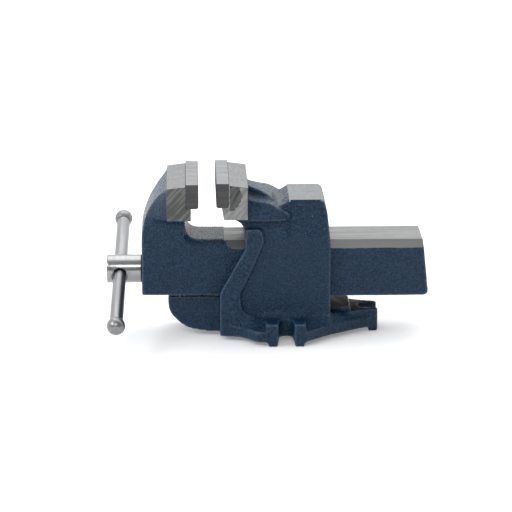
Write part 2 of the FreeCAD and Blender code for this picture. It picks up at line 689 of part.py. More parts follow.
def slide_bar():
    """The long bar of the slide, with the cast part in front and the machined edges behind it."""
    profile = [
        (SLIDE_FRONT_X, SLIDE_BOTTOM + HEAD_LIFT, 1.5),
        (SLIDE_FRONT_X, SLIDE_TOP),
        (SLIDING_BLOCK_X - 2, SLIDE_TOP),
        (SLIDING_BLOCK_X - 2, CAST_TOP),
        (MACHINED_START_X, CAST_TOP),
        (MACHINED_START_X, SLIDE_TOP),
        (SLIDE_TAIL_X - TAIL_SLOPE, SLIDE_TOP, 1.5),
        (SLIDE_TAIL_X, SLIDE_BOTTOM, 4.5),
        (MACHINED_START_X, SLIDE_BOTTOM),
        (MACHINED_START_X - 12, SLIDE_BOTTOM + HEAD_LIFT - 0.4),
    ]
    bar = side_prism(profile, HALF_SLIDE)
    rounded = [
        (-HALF_SLIDE, SLIDE_BOTTOM),
        (-HALF_SLIDE, CAST_TOP, SLIDE_ROUND),
        (HALF_SLIDE, CAST_TOP, SLIDE_ROUND),
        (HALF_SLIDE, SLIDE_BOTTOM),
    ]
    cast_part = end_prism(rounded, SLIDE_FRONT_X - 1, SLIDE_TAIL_X + 1)
    bar = bar.common(cast_part)
    cutter_x = MACHINED_START_X + CUTTER_RADIUS
    cutter_z = SLIDE_TOP - SLIDE_CHAMFER + CUTTER_RADIUS
    sweep = Part.makeCylinder(
        CUTTER_RADIUS, 2 * SLIDE_WIDTH, Vector(cutter_x, -SLIDE_WIDTH, cutter_z), Vector(0, 1, 0))
    sweep = sweep.fuse(block(
        (cutter_x, -SLIDE_WIDTH, SLIDE_TOP - SLIDE_CHAMFER), (SLIDE_TAIL_X + 2, SLIDE_WIDTH, SLIDE_TOP + 5)))
    reach = SLIDE_CHAMFER + 4
    for side in (-1, 1):
        edge = side * HALF_SLIDE
        wedge = end_prism([
            (edge, SLIDE_TOP - SLIDE_CHAMFER),
            (edge + side * reach, SLIDE_TOP - SLIDE_CHAMFER),
            (edge + side * reach, SLIDE_TOP + 4),
            (edge - side * (SLIDE_CHAMFER + 4), SLIDE_TOP + 4),
        ], MACHINED_START_X - 2, SLIDE_TAIL_X + 2)
        bar = bar.cut(wedge.common(sweep))
    return bar


def throat_toe():
    """The foot of the jaw where it curves down to the top of the slide, with the same cast edges."""
    outline = [
        (SLIDING_BLOCK_BACK_X + 2, SLIDE_TOP - 14),
        (SLIDING_BLOCK_BACK_X + 2, SLIDING_SEAT_Z - BLOCK_DROP + 1),
        (SLIDING_BLOCK_X - 0.6, SLIDING_SEAT_Z - BLOCK_DROP + 1),
        (SLIDING_BLOCK_X - 0.6, CAST_TOP, THROAT_RADIUS),
        (MACHINED_START_X - 4, CAST_TOP),
        (MACHINED_START_X - 4, SLIDE_TOP - 14),
    ]
    toe = side_prism(outline, HALF_SLIDE)
    edges = [edge for edge in toe.Edges
             if abs(abs(edge.CenterOfMass.y) - HALF_SLIDE) < 0.01
             and edge.CenterOfMass.x > SLIDING_BLOCK_X - 1
             and edge.CenterOfMass.z > CAST_TOP - 0.01
             and edge.CenterOfMass.z < SLIDING_SEAT_Z - BLOCK_DROP]
    return toe.makeFillet(SLIDE_ROUND, edges)


def sliding_jaw():
    jaw = joined([
        slide_bar(),
        jaw_head(),
        throat_toe(),
        machined_block(SLIDING_BLOCK_X, SLIDING_BLOCK_BACK_X, SLIDING_SEAT_Z, 0.0),
    ])
    half_hollow = HALF_SLIDE - SLIDE_WALL
    hollow = block(
        (HOLLOW_FRONT_X, -half_hollow, SLIDE_BOTTOM - 1),
        (HOLLOW_REAR_X, half_hollow, SLIDE_TOP - SLIDE_ROOF),
    )
    bore = rod(
        SCREW_DIAMETER / 2 + THREAD_CLEARANCE,
        (SLIDE_FRONT_X - 1, 0, SCREW_Z),
        (HOLLOW_FRONT_X + 1, 0, SCREW_Z),
    )
    holes = [plate_screw_hole(place, into)
             for place, into in plate_screw_places(SLIDING_FACE_X, SLIDING_SEAT_Z, -1)]
    for cutter in [hollow, bore] + holes:
        jaw = jaw.cut(cutter)
    return jaw.removeSplitter().Solids[0]


# ---------------------------------------------------------------- screw and what it carries
def handle_direction():
    droop = math.radians(HANDLE_DROOP)
    lean = math.radians(HANDLE_LEAN)
    return Vector(-math.sin(lean), -math.cos(lean) * math.cos(droop), -math.cos(lean) * math.sin(droop))


def handle_point(along):
    """A point on the handle's axis, measured from the screw's axis towards the lower end."""
    return Vector(HANDLE_X, 0, SCREW_Z) + handle_direction() * along


def lead_screw():
    """Turned head with the cross hole, then the plain and the threaded bar at its outside diameter."""
    head_end = SLIDE_FRONT_X - HEAD_GAP
    head = rod(HEAD_DIAMETER / 2, (HEAD_FRONT_X, 0, SCREW_Z), (head_end, 0, SCREW_Z))
    rims = [edge for edge in head.Edges if abs(edge.BoundBox.XLength) < 0.01]
    head = head.makeFillet(HEAD_EDGE, rims)
    bar = rod(SCREW_DIAMETER / 2, (head_end - 1, 0, SCREW_Z), (SCREW_END_X, 0, SCREW_Z))
    ends = [edge for edge in bar.Edges if abs(edge.CenterOfMass.x - SCREW_END_X) < 0.01]
    bar = bar.makeChamfer(SCREW_END_CHAMFER, ends)
    hole_start = handle_point(-HEAD_DIAMETER)
    hole_end = handle_point(HEAD_DIAMETER)
    cross_hole = rod(HANDLE_HOLE_DIAMETER / 2, hole_start, hole_end)
    pin_hole = rod(
        COTTER_DIAMETER / 2 + FASTENER_CLEARANCE,
        (COTTER_X, -SCREW_DIAMETER, SCREW_Z),
        (COTTER_X, SCREW_DIAMETER, SCREW_Z),
    )
    return head.fuse(bar).cut(cross_hole).cut(pin_hole).removeSplitter().Solids[0]


def ring(outer, inner, start_x, end_x):
    """A flat ring round the screw."""
    outside = rod(outer, (start_x, 0, SCREW_Z), (end_x, 0, SCREW_Z))
    return outside.cut(rod(inner, (start_x - 1, 0, SCREW_Z), (end_x + 1, 0, SCREW_Z)))


def thrust_spring():
    """Round-wire spring round the screw, between the front wall and the washer."""
    coil_radius = SCREW_DIAMETER / 2 + SPRING_WIRE / 2 + SPRING_CLEARANCE
    pitch = round((SPRING_LENGTH - SPRING_WIRE - 2 * SPRING_END_GAP) / SPRING_TURNS, 4)
    helix = Part.makeHelix(pitch, pitch * SPRING_TURNS, coil_radius)
    start = Vector(coil_radius, 0, 0)
    circle = Part.Circle(start, Vector(0, 1, 0), SPRING_WIRE / 2).toShape()
    coil = Part.Wire(helix.Edges).makePipeShell([Part.Wire(circle)], True, True)
    coil.rotate(Vector(0, 0, 0), Vector(0, 1, 0), 90)
    coil.translate(Vector(HOLLOW_FRONT_X + SPRING_WIRE / 2 + SPRING_END_GAP, 0, SCREW_Z))
    return coil


def washer():
    return ring(SCREW_DIAMETER / 2 + WASHER_RIM, SCREW_DIAMETER / 2 + THREAD_CLEARANCE,
                WASHER_X, WASHER_X + WASHER_THICKNESS)


def cotter_pin():
    """Split pin through the screw, behind the washer, with its eye on the near side."""
    half = COTTER_LENGTH / 2
    pin = rod(COTTER_DIAMETER / 2, (COTTER_X, -half + 2, SCREW_Z), (COTTER_X, half, SCREW_Z))
    eye = Part.makeTorus(COTTER_DIAMETER * 0.8, COTTER_DIAMETER * 0.4, Vector(COTTER_X, -half + 1, SCREW_Z),
                         Vector(1, 0, 0))
    return pin.fuse(eye).removeSplitter()


def main_nut():
    """Iron block with a rounded top, bored for the screw, with the hole for its bolt below."""
    outline = [
        (-HALF_NUT, TUNNEL_BOTTOM),
        (-HALF_NUT, SCREW_Z + HALF_NUT, HALF_NUT * 0.9),
        (HALF_NUT, SCREW_Z + HALF_NUT, HALF_NUT * 0.9),
        (HALF_NUT, TUNNEL_BOTTOM),
    ]
    nut = end_prism(outline, NUT_FRONT_X, NUT_FRONT_X + NUT_LENGTH)
    bore = rod(SCREW_DIAMETER / 2 + THREAD_CLEARANCE, (NUT_FRONT_X - 1, 0, SCREW_Z),
               (NUT_FRONT_X + NUT_LENGTH + 1, 0, SCREW_Z))
    bolt_hole = rod(NUT_BOLT_DIAMETER / 2 + FASTENER_CLEARANCE, (NUT_CENTRE_X, 0, TUNNEL_BOTTOM - 1),
                    (NUT_CENTRE_X, 0, TUNNEL_BOTTOM + NUT_BOLT_GRIP + 1))
    return nut.cut(bore).cut(bolt_hole).Solids[0]


def nut_washer():
    centre = Vector(NUT_CENTRE_X, 0, CAVITY_TOP)
    down = Vector(0, 0, -1)
    disc = Part.makeCylinder(NUT_BOLT_DIAMETER, NUT_WASHER_THICKNESS, centre, down)
    bore_radius = NUT_BOLT_DIAMETER / 2 + FASTENER_CLEARANCE
    return disc.cut(Part.makeCylinder(bore_radius, NUT_WASHER_THICKNESS + 1, centre, down))


def nut_bolt():
    """Hexagon bolt that holds the nut down, put in from below."""
    under_head = CAVITY_TOP - NUT_WASHER_THICKNESS
    radius = NUT_BOLT_HEAD / math.sqrt(3)
    turns = [math.radians(60 * i) for i in range(7)]
    points = [Vector(NUT_CENTRE_X + radius * math.cos(a), radius * math.sin(a), under_head) for a in turns]
    head = Part.Face(Part.makePolygon(points)).extrude(Vector(0, 0, -NUT_BOLT_HEAD_HEIGHT))
    shank = rod(NUT_BOLT_DIAMETER / 2, (NUT_CENTRE_X, 0, under_head - 1),
                (NUT_CENTRE_X, 0, TUNNEL_BOTTOM + NUT_BOLT_GRIP))
    return head.fuse(shank).removeSplitter()


# ---------------------------------------------------------------- handle
def knob_centre(end):
    """The centre of a knob: end is 1 for the lower, near one and -1 for the far one."""
    return handle_point(HANDLE_SHIFT + end * HANDLE_LENGTH / 2)


def handle_bar():
    """Plain bar; it stops inside the knobs."""
    inside = KNOB_DIAMETER / 4
    reach = HANDLE_LENGTH / 2 + inside
    return rod(HANDLE_DIAMETER / 2, handle_point(HANDLE_SHIFT - reach), handle_point(HANDLE_SHIFT + reach))


def handle_knob(end):
    """Turned ball with a flat end, bored for the bar."""
    centre = knob_centre(end)
    outward = handle_direction() * end
    radius = KNOB_DIAMETER / 2
    ball = Part.makeSphere(radius, centre)
    flat = Part.makeCylinder(KNOB_DIAMETER, KNOB_DIAMETER, centre + outward * (radius - KNOB_FLAT), outward)
    bore_start = centre - outward * KNOB_DIAMETER
    bore_end = centre + outward * (KNOB_DIAMETER / 4 + KNOB_FIT)
    return ball.cut(flat).cut(rod(HANDLE_DIAMETER / 2 + KNOB_FIT, bore_start, bore_end)).Solids[0]


# ---------------------------------------------------------------- one STEP file for each piece
STANDING = {
    "fixed_jaw_body": fixed_jaw_body(),
    "fixed_jaw_plate": jaw_plate(FIXED_FACE_X, FIXED_SEAT_Z, 1),
    "fixed_plate_screws": plate_screws(FIXED_FACE_X, FIXED_SEAT_Z, 1),
    "main_nut": main_nut(),
    "nut_bolt": nut_bolt(),
    "nut_washer": nut_washer(),
}
SLIDING = {
    "sliding_jaw": sliding_jaw(),
    "sliding_jaw_plate": jaw_plate(SLIDING_FACE_X, SLIDING_SEAT_Z, -1),
    "sliding_plate_screws": plate_screws(SLIDING_FACE_X, SLIDING_SEAT_Z, -1),
    "lead_screw": lead_screw(),
    "thrust_spring": thrust_spring(),
    "spring_washer": washer(),
    "cotter_pin": cotter_pin(),
    "handle_bar": handle_bar(),
    "handle_knob_near": handle_knob(1),
    "handle_knob_far": handle_knob(-1),
}

for shape in SLIDING.values():
    shape.translate(Vector(DRAWN_OPENING - OPENING_AT_REST, 0, 0))

for name, shape in {**STANDING, **SLIDING}.items():
    box = shape.BoundBox
    volume = shape.Volume / 1000
    print(f"{name:22s} solids {len(shape.Solids)} valid {shape.isValid()} volume {volume:8.2f} cm3")
    print(f"    X {box.XMin:.1f} {box.XMax:.1f}  Y {box.YMin:.1f} {box.YMax:.1f}")
    print(f"    Z {box.ZMin:.1f} {box.ZMax:.1f}")
    shape.exportStep(f"parts/{name}.step")
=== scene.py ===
# %% [markdown]
# A bench vise, finished around its CAD model.
# The CAD solids already have every size and every joint. What they lack is the surface of the real thing:
# soft sand-cast skin under blue enamel, crisp bare faces where a cutter passed, serrated jaw plates,
# a threaded screw and turned bright steel. Each step below makes one of these and hangs it on the CAD
# body it moves with.

# %% Load the frame
import json
import math

import bmesh
import bpy
from mathutils import Matrix, Vector


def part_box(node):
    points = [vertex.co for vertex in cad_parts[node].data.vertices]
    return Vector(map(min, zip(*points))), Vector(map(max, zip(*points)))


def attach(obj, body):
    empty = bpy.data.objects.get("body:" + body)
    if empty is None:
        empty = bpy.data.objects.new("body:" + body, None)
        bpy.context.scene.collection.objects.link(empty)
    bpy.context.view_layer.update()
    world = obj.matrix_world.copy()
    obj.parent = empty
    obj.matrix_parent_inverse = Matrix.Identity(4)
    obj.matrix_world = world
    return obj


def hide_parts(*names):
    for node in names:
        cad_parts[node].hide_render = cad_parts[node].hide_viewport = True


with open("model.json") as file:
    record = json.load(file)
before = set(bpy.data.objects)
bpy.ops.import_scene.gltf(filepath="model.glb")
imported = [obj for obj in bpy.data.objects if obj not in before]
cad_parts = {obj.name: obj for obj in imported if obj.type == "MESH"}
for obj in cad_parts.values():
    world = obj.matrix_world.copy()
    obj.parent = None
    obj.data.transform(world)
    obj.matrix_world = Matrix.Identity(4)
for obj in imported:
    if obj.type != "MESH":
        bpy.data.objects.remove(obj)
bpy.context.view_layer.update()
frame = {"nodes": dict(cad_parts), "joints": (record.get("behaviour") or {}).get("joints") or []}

MM = 0.001
nodes = frame["nodes"]
joints = {joint["name"]: joint for joint in frame["joints"]}
print("nodes:", sorted(nodes))

# %% [markdown]
# Sizes are read off the CAD boxes in millimetres where a box gives them, so that a change of the model
# carries over. Those that a box can't give, such as the depth of a block behind its plate or the height of
# the milled slide, are written here once, with the values that the CAD model has for them.

# %% Sizes from the frame
fixed_plate_low, fixed_plate_high = [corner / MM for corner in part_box("fixed_jaw_plate")]
sliding_plate_low, sliding_plate_high = [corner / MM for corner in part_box("sliding_jaw_plate")]
jaw_low, jaw_high = [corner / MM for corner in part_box("sliding_jaw")]
screw_low, screw_high = [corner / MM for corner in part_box("lead_screw")]

HALF_JAW = fixed_plate_high.y
PLATE_HEIGHT = fixed_plate_high.z - fixed_plate_low.z
FIXED_BLOCK_X = fixed_plate_high.x
SLIDING_BLOCK_X = sliding_plate_low.x
BLOCK_DEPTH = 19.0
BLOCK_DROP = 12.4
BLOCK_PROUD = 0.06
BLOCK_EDGE = 0.45
BLOCK_FRONT_FALL = 1.95
BLOCK_BACK_FALL = 4.4
LEDGE_DEPTH = 5.0
HALF_SLIDE = 32.0
SLIDE_TOP = 100.8
SLIDE_BOTTOM = jaw_low.z
SLIDE_CHAMFER = 7.3
SHOULDER_Z = SLIDE_TOP - SLIDE_CHAMFER
CAST_TOP = 102.0
CAST_ROUND = 9.0
GUIDE_CLEARANCE = 0.15
CUTTER_START_X = -62.0
CUTTER_RADIUS = 12.0
CUTTER_X = CUTTER_START_X + CUTTER_RADIUS
CUTTER_Z = SHOULDER_Z + CUTTER_RADIUS
ANVIL_TOP = 144.4
ANVIL_FRONT_X = 4.0
BODY_REAR_X = 45.4
HALF_ANVIL = 32.0
REAR_LUG_TOP = 24.0
REAR_LUG_X = 67.5
PLATFORM_TOP = 28.8
SEAT_GROUND = 0.12
MOUTH_RELIEF_X = -31.2
MOUTH_RELIEF_GAP = 1.1
SCREW_AXIS = Vector(joints["screw_spin"]["pos_m"]) / MM
HANDLE_AXIS = Vector(joints["handle_slide"]["axis"]).normalized()
print("plate height", round(PLATE_HEIGHT, 2), "half jaw", HALF_JAW, "screw axis", SCREW_AXIS)

# %% [markdown]
# Small tools for solid modelling. A bmesh is drawn with operators, turned into an object, and then cut or
# joined with Boolean modifiers, much as a casting is sawn and milled. Moving vertices by hand could give the
# same shapes, but cutters keep each size in one place. The Manifold solver is quick on closed meshes.

# %% Mesh helpers
def piece(bm, name):
    """An object made of a bmesh, with its faces pointing outwards."""
    bmesh.ops.recalc_face_normals(bm, faces=bm.faces)
    mesh = bpy.data.meshes.new(name)
    bm.to_mesh(mesh)
    bm.free()
    made = bpy.data.objects.new(name, mesh)
    bpy.context.scene.collection.objects.link(made)
    return made


def settled(made):
    """Writes the modifiers of an object into its mesh."""
    graph = bpy.context.evaluated_depsgraph_get()
    mesh = bpy.data.meshes.new_from_object(made.evaluated_get(graph))
    made.modifiers.clear()
    made.data = mesh
    return made


def combined(made, other, operation):
    """Joins a closed mesh to a piece, or cuts it away, and drops it."""
    modifier = made.modifiers.new("cut", "BOOLEAN")
    modifier.operation = operation
    modifier.solver = "MANIFOLD"
    modifier.object = other
    settled(made)
    bpy.data.objects.remove(other)
    return made


def prism(name, outline, place, along, bevel=0.0):
    """A closed prism, in mm: place(a, b) puts the corners of the outline, and along is the pull."""
    bm = bmesh.new()
    corners = [bm.verts.new(Vector(place(a, b)) * MM) for a, b in outline]
    end = bmesh.ops.extrude_face_region(bm, geom=[bm.faces.new(corners)])["geom"]
    moved = [part for part in end if isinstance(part, bmesh.types.BMVert)]
    bmesh.ops.translate(bm, verts=moved, vec=Vector(along) * MM)
    bmesh.ops.recalc_face_normals(bm, faces=bm.faces)
    if bevel:
        bmesh.ops.bevel(bm, geom=bm.edges[:], offset=bevel * MM, affect="EDGES", segments=2,
                        profile=0.5, material=-1)
    return piece(bm, name)


def side_prism(name, outline, half_width, bevel=0.0):
    """A prism with its outline in X and Z, across the middle plane."""
    return prism(name, outline, lambda x, z: (x, -half_width, z), (0, 2 * half_width, 0), bevel)


def end_prism(name, outline, start_x, end_x, bevel=0.0):
    """A prism with its outline in Y and Z."""
    return prism(name, outline, lambda y, z: (start_x, y, z), (end_x - start_x, 0, 0), bevel)


def block(name, low, high):
    """A closed box between two opposite corners."""
    outline = [(low[0], low[2]), (high[0], low[2]), (high[0], high[2]), (low[0], high[2])]
    return prism(name, outline, lambda x, z: (x, low[1], z), (0, high[1] - low[1], 0))


def turned(name, profile, start, along, steps=64):
    """A solid turned from a profile of (distance, radius) round the axis that leaves start."""
    bm = bmesh.new()
    verts = [bm.verts.new((radius * MM, 0, distance * MM)) for distance, radius in profile]
    edges = [bm.edges.new(pair) for pair in zip(verts, verts[1:])]
    bmesh.ops.spin(bm, geom=verts + edges, cent=(0, 0, 0), axis=(0, 0, 1), angle=2 * math.pi,
                   steps=steps, use_merge=True)
    bmesh.ops.remove_doubles(bm, verts=bm.verts, dist=0.001 * MM)
    upright = Vector((0, 0, 1)).rotation_difference(Vector(along)).to_matrix()
    bmesh.ops.rotate(bm, cent=(0, 0, 0), matrix=upright, verts=bm.verts)
    bmesh.ops.translate(bm, verts=bm.verts, vec=Vector(start) * MM)
    return piece(bm, name)


def crisp(made, degrees=32, flat=()):
    """Smooth shading that stops at edges sharper than an angle; the materials in flat get none."""
    made.data.shade_smooth()
    made.data.set_sharp_from_angle(angle=math.radians(degrees))
    for polygon in made.data.polygons:
        if made.data.materials[polygon.material_index] in flat:
            polygon.use_smooth = False
    return made


# %% [markdown]
# Cast skin. Sand leaves the iron with a fine orange-peel grain that still shows through thick enamel.
# The grain is a node group, because the painted skin and the bare lug tops both use it. It puts out a height
# for a Bump node and a slow mottle for colour. Its Coarse input strengthens the grain where the mould was
# rougher. Grain this fine is left to the bump: as geometry it would take millions of triangles.

# %% Shader helpers and the cast skin group
def linked(tree, kind, inputs=None, **settings):
    """A node of a kind, with its settings and its inputs: a number, or another node's socket."""
    node = tree.nodes.new(kind)
    for key, value in settings.items():
        setattr(node, key, value)
    for key, value in (inputs or {}).items():
        if isinstance(value, bpy.types.NodeSocket):
            tree.links.new(value, node.inputs[key])
        else:
            node.inputs[key].default_value = value
    return node


def new_group(name, inputs, outputs):
    """An empty shader node group; a socket is named with its kind and, for an input, its value."""
    tree = bpy.data.node_groups.new(name, "ShaderNodeTree")
    for key, kind, value in inputs:
        socket = tree.interface.new_socket(name=key, in_out="INPUT", socket_type=kind)
        if value is not None:
            socket.default_value = value
    for key, kind in outputs:
        tree.interface.new_socket(name=key, in_out="OUTPUT", socket_type=kind)
    start = tree.nodes.new("NodeGroupInput")
    end = tree.nodes.new("NodeGroupOutput")
    return tree, start.outputs, end.inputs


def maths(tree, operation, a, b=0.0, c=0.0):
    """The result socket of one Math node."""
    return linked(tree, "ShaderNodeMath", {0: a, 1: b, 2: c}, operation=operation).outputs[0]


def ramped(tree, value, low, high, to_low=0.0, to_high=1.0):
    """A value mapped smoothly from one range to another."""
    return linked(tree, "ShaderNodeMapRange", {"Value": value, "From Min": low, "From Max": high,
                  "To Min": to_low, "To Max": to_high}, interpolation_type="SMOOTHSTEP").outputs[0]


def noise(tree, vector, scale, detail=2.0, roughness=0.5):
    """The value of a noise whose grains are about one over scale in metres."""
    return linked(tree, "ShaderNodeTexNoise", {"Vector": vector, "Scale": scale, "Detail": detail,
                  "Roughness": roughness}).outputs[0]


def cast_skin_group():
    tree, given, out = new_group("cast skin", [
        ("Vector", "NodeSocketVector", None),
        ("Coarse", "NodeSocketFloat", 0.0),
    ], [("Height", "NodeSocketFloat"), ("Mottle", "NodeSocketFloat")])
    peel = noise(tree, given["Vector"], 600.0, 2.0, 0.5)
    grit = noise(tree, given["Vector"], 1000.0, 3.0, 0.6)
    lumps = ramped(tree, noise(tree, given["Vector"], 340.0, 3.0, 0.6), 0.5, 0.7)
    fine = maths(tree, "MULTIPLY_ADD", grit, 0.35, peel)
    strong = maths(tree, "MULTIPLY_ADD", lumps, 1.4, fine)
    height = linked(tree, "ShaderNodeMix", {"Factor": given["Coarse"], "A": fine, "B": strong})
    mottle = noise(tree, given["Vector"], 55.0, 4.0, 0.6)
    tree.links.new(height.outputs[0], out["Height"])
    tree.links.new(mottle, out["Mottle"])
    return tree


CAST_SKIN = cast_skin_group()
print("group:", CAST_SKIN.name)

# %% [markdown]
# Tool marks. A grinder or a milling cutter leaves long thin scratches in one direction.
# A noise that is stretched along one axis draws them; a Mapping node in each material turns that axis
# to the way its tool went. The group puts out a height for the bump and a tone for colour and roughness.

# %% Tool marks group
def tool_marks_group():
    tree, given, out = new_group("tool marks", [
        ("Vector", "NodeSocketVector", None),
        ("Spacing", "NodeSocketFloat", 1.0),
    ], [("Height", "NodeSocketFloat"), ("Tone", "NodeSocketFloat")])
    stretched = linked(tree, "ShaderNodeVectorMath", {0: given["Vector"], 1: (1.0, 0.035, 1.0)},
                       operation="MULTIPLY").outputs[0]
    spaced = linked(tree, "ShaderNodeVectorMath", {0: stretched, "Scale": given["Spacing"]},
                    operation="SCALE").outputs[0]
    scratches = noise(tree, spaced, 1300.0, 3.0, 0.65)
    bands = noise(tree, spaced, 380.0, 2.0, 0.5)
    stains = noise(tree, given["Vector"], 70.0, 3.0, 0.6)
    height = maths(tree, "MULTIPLY_ADD", bands, 0.6, scratches)
    tone = maths(tree, "MULTIPLY_ADD", bands, 0.75, maths(tree, "MULTIPLY", stains, 0.25))
    tree.links.new(height, out["Height"])
    tree.links.new(tone, out["Tone"])
    return tree


TOOL_MARKS = tool_marks_group()
print("group:", TOOL_MARKS.name)


def placed_group(tree, group, **inputs):
    """A group node in a material, with its inputs."""
    node = tree.nodes.new("ShaderNodeGroup")
    node.node_tree = group
    for key, value in inputs.items():
        if isinstance(value, bpy.types.NodeSocket):
            tree.links.new(value, node.inputs[key])
        else:
            node.inputs[key].default_value = value
    return node.outputs


def new_material(name):
    """A material with its Principled shader."""
    material = bpy.data.materials.new(name)
    material.use_nodes = True
    tree = material.node_tree
    return material, tree, tree.nodes["Principled BSDF"].inputs


def object_place(tree, turn=(0.0, 0.0, 0.0), stretch=(1.0, 1.0, 1.0)):
    """Object coordinates, turned by angles in degrees and stretched along the axes."""
    coordinates = tree.nodes.new("ShaderNodeTexCoord").outputs["Object"]
    radians = tuple(math.radians(angle) for angle in turn)
    return linked(tree, "ShaderNodeMapping", {"Vector": coordinates, "Rotation": radians, "Scale": stretch},
                  vector_type="TEXTURE").outputs[0]


def mixed(tree, factor, a, b):
    """A colour between two colours."""
    node = linked(tree, "ShaderNodeMix", data_type="RGBA")
    for key, value in ((0, factor), (6, a), (7, b)):
        if isinstance(value, bpy.types.NodeSocket):
            tree.links.new(value, node.inputs[key])
        else:
            node.inputs[key].default_value = value if key == 0 else (*value, 1.0)
    return node.outputs[2]


def bumped(tree, shader, height, distance):
    """Relief of a depth in millimetres on a shader."""
    bump = linked(tree, "ShaderNodeBump", {"Height": height, "Strength": 1.0, "Distance": distance * MM})
    tree.links.new(bump.outputs[0], shader["Normal"])


# %% [markdown]
# Blue enamel. It is a thick dark coat on the cast skin. The paint is thinner and lighter on the grains than
# in the pits between them, and the pits also get painted shade. Concave creases get painted shade as well.
# High edges are lighter, partly rubbed and partly a painted highlight. The mould was rougher round the anvil,
# so the coarse grain has a mask there, drawn in Object coordinates with a ragged border, and the high grains
# in it carry painted glints.

# %% Blue enamel
ENAMEL = (0.0060, 0.0365, 0.0810)
ENAMEL_POOLED_AND_SHADED = (0.0006, 0.0095, 0.0270)
ENAMEL_PAINTED_GLINT = (0.11, 0.16, 0.24)
ENAMEL_WORN_AND_HIGHLIGHT = (0.07, 0.11, 0.17)
COARSE_FROM_X = (-6, 3)
COARSE_FROM_Z = (106, 113)
COARSE_BORDER = 14


def blue_enamel(name, coarse_patch):
    """Enamel on cast skin; with coarse_patch the skin behind and above a border is rougher."""
    material, tree, shader = new_material(name)
    place = object_place(tree)
    split = linked(tree, "ShaderNodeSeparateXYZ", {0: place}).outputs
    ragged = maths(tree, "MULTIPLY_ADD", noise(tree, place, 90.0), COARSE_BORDER * MM,
                   -COARSE_BORDER / 2 * MM)
    if coarse_patch:
        behind = ramped(tree, maths(tree, "ADD", split[0], ragged), *[x * MM for x in COARSE_FROM_X])
        above = ramped(tree, maths(tree, "ADD", split[2], ragged), *[z * MM for z in COARSE_FROM_Z])
        coarse = maths(tree, "MULTIPLY", behind, above)
    else:
        coarse = 0.0
    skin = placed_group(tree, CAST_SKIN, Vector=place, Coarse=coarse)
    # The pits of the grain are darker: partly thicker paint pooled there, partly painted shade.
    grain = ramped(tree, skin["Height"], 0.56, 0.80)
    slow = ramped(tree, skin["Mottle"], 0.3, 0.7, 0.0, 0.15)
    tone = maths(tree, "MULTIPLY_ADD", grain, 0.85, slow)
    paint = mixed(tree, tone, ENAMEL_POOLED_AND_SHADED, ENAMEL)
    pointiness = tree.nodes.new("ShaderNodeNewGeometry").outputs["Pointiness"]
    # Convex edges are lightened: partly rubbed paint, partly a painted highlight.
    rubbed_and_highlight = ramped(tree, pointiness, 0.51, 0.55, 0.0, 0.5)
    paint = mixed(tree, rubbed_and_highlight, paint, ENAMEL_WORN_AND_HIGHLIGHT)
    # Painted shade: concave creases, found by low pointiness, are darkened towards the deep colour.
    painted_crease_shade = ramped(tree, pointiness, 0.45, 0.492, 0.9, 0.0)
    paint = mixed(tree, painted_crease_shade, paint, ENAMEL_POOLED_AND_SHADED)
    if coarse_patch:
        # Painted glints: the highest grains in the coarse patch are lightened.
        painted_glints = maths(tree, "MULTIPLY", ramped(tree, skin["Height"], 1.5, 2.2, 0.0, 0.6), coarse)
        paint = mixed(tree, painted_glints, paint, ENAMEL_PAINTED_GLINT)
    tree.links.new(paint, shader["Base Color"])
    shine = ramped(tree, skin["Mottle"], 0.2, 0.8, 0.20, 0.32)
    tree.links.new(shine, shader["Roughness"])
    shader["Specular IOR Level"].default_value = 0.28
    bumped(tree, shader, skin["Height"], 1.5)
    return material


BODY_ENAMEL = blue_enamel("blue_enamel_body", True)
JAW_ENAMEL = blue_enamel("blue_enamel_jaw", False)
print("enamels:", BODY_ENAMEL.name, JAW_ENAMEL.name)

# %% [markdown]
# Bare iron and steel. All of them are one recipe: a metal with a lighter colour on the faces that look up
# and a darker one on the sides, which is painted light and shade, and with tool marks in its own direction.
# The values tell them apart.

# %% Bare metals
MARK_COLOUR = (0.03, 0.03, 0.032)
LOOKS_UP = (0.3, 0.8)


def bare_metal(name, top, side, marks_turn=(0.0, 0.0, 0.0), roughness=(0.34, 0.5), spacing=1.0, depth=0.03,
               contrast=0.35, side_contrast=None, stretch=(1.0, 1.0, 1.0)):
    """A metal with tool marks: depth is their relief in mm, contrast how dark they are."""
    material, tree, shader = new_material(name)
    place = object_place(tree, marks_turn, stretch)
    marks = placed_group(tree, TOOL_MARKS, Vector=place, Spacing=spacing)
    normal = tree.nodes.new("ShaderNodeNewGeometry").outputs["True Normal"]
    upward = linked(tree, "ShaderNodeSeparateXYZ", {0: normal}).outputs[2]
    # Painted light and shade: faces that look up take the lighter colour, the sides the darker one.
    colour = mixed(tree, ramped(tree, upward, *LOOKS_UP), side, top)
    if side_contrast is None:
        side_contrast = contrast
    darkest = ramped(tree, upward, *LOOKS_UP, 1.0 - side_contrast, 1.0 - contrast)
    dark = ramped(tree, marks["Tone"], 0.42, 0.58, darkest, 1.0)
    colour = mixed(tree, dark, MARK_COLOUR, colour)
    tree.links.new(colour, shader["Base Color"])
    shader["Metallic"].default_value = 1.0
    dull = ramped(tree, marks["Tone"], 0.35, 0.65, roughness[1], roughness[0])
    tree.links.new(dull, shader["Roughness"])
    bumped(tree, shader, marks["Height"], depth)
    return material


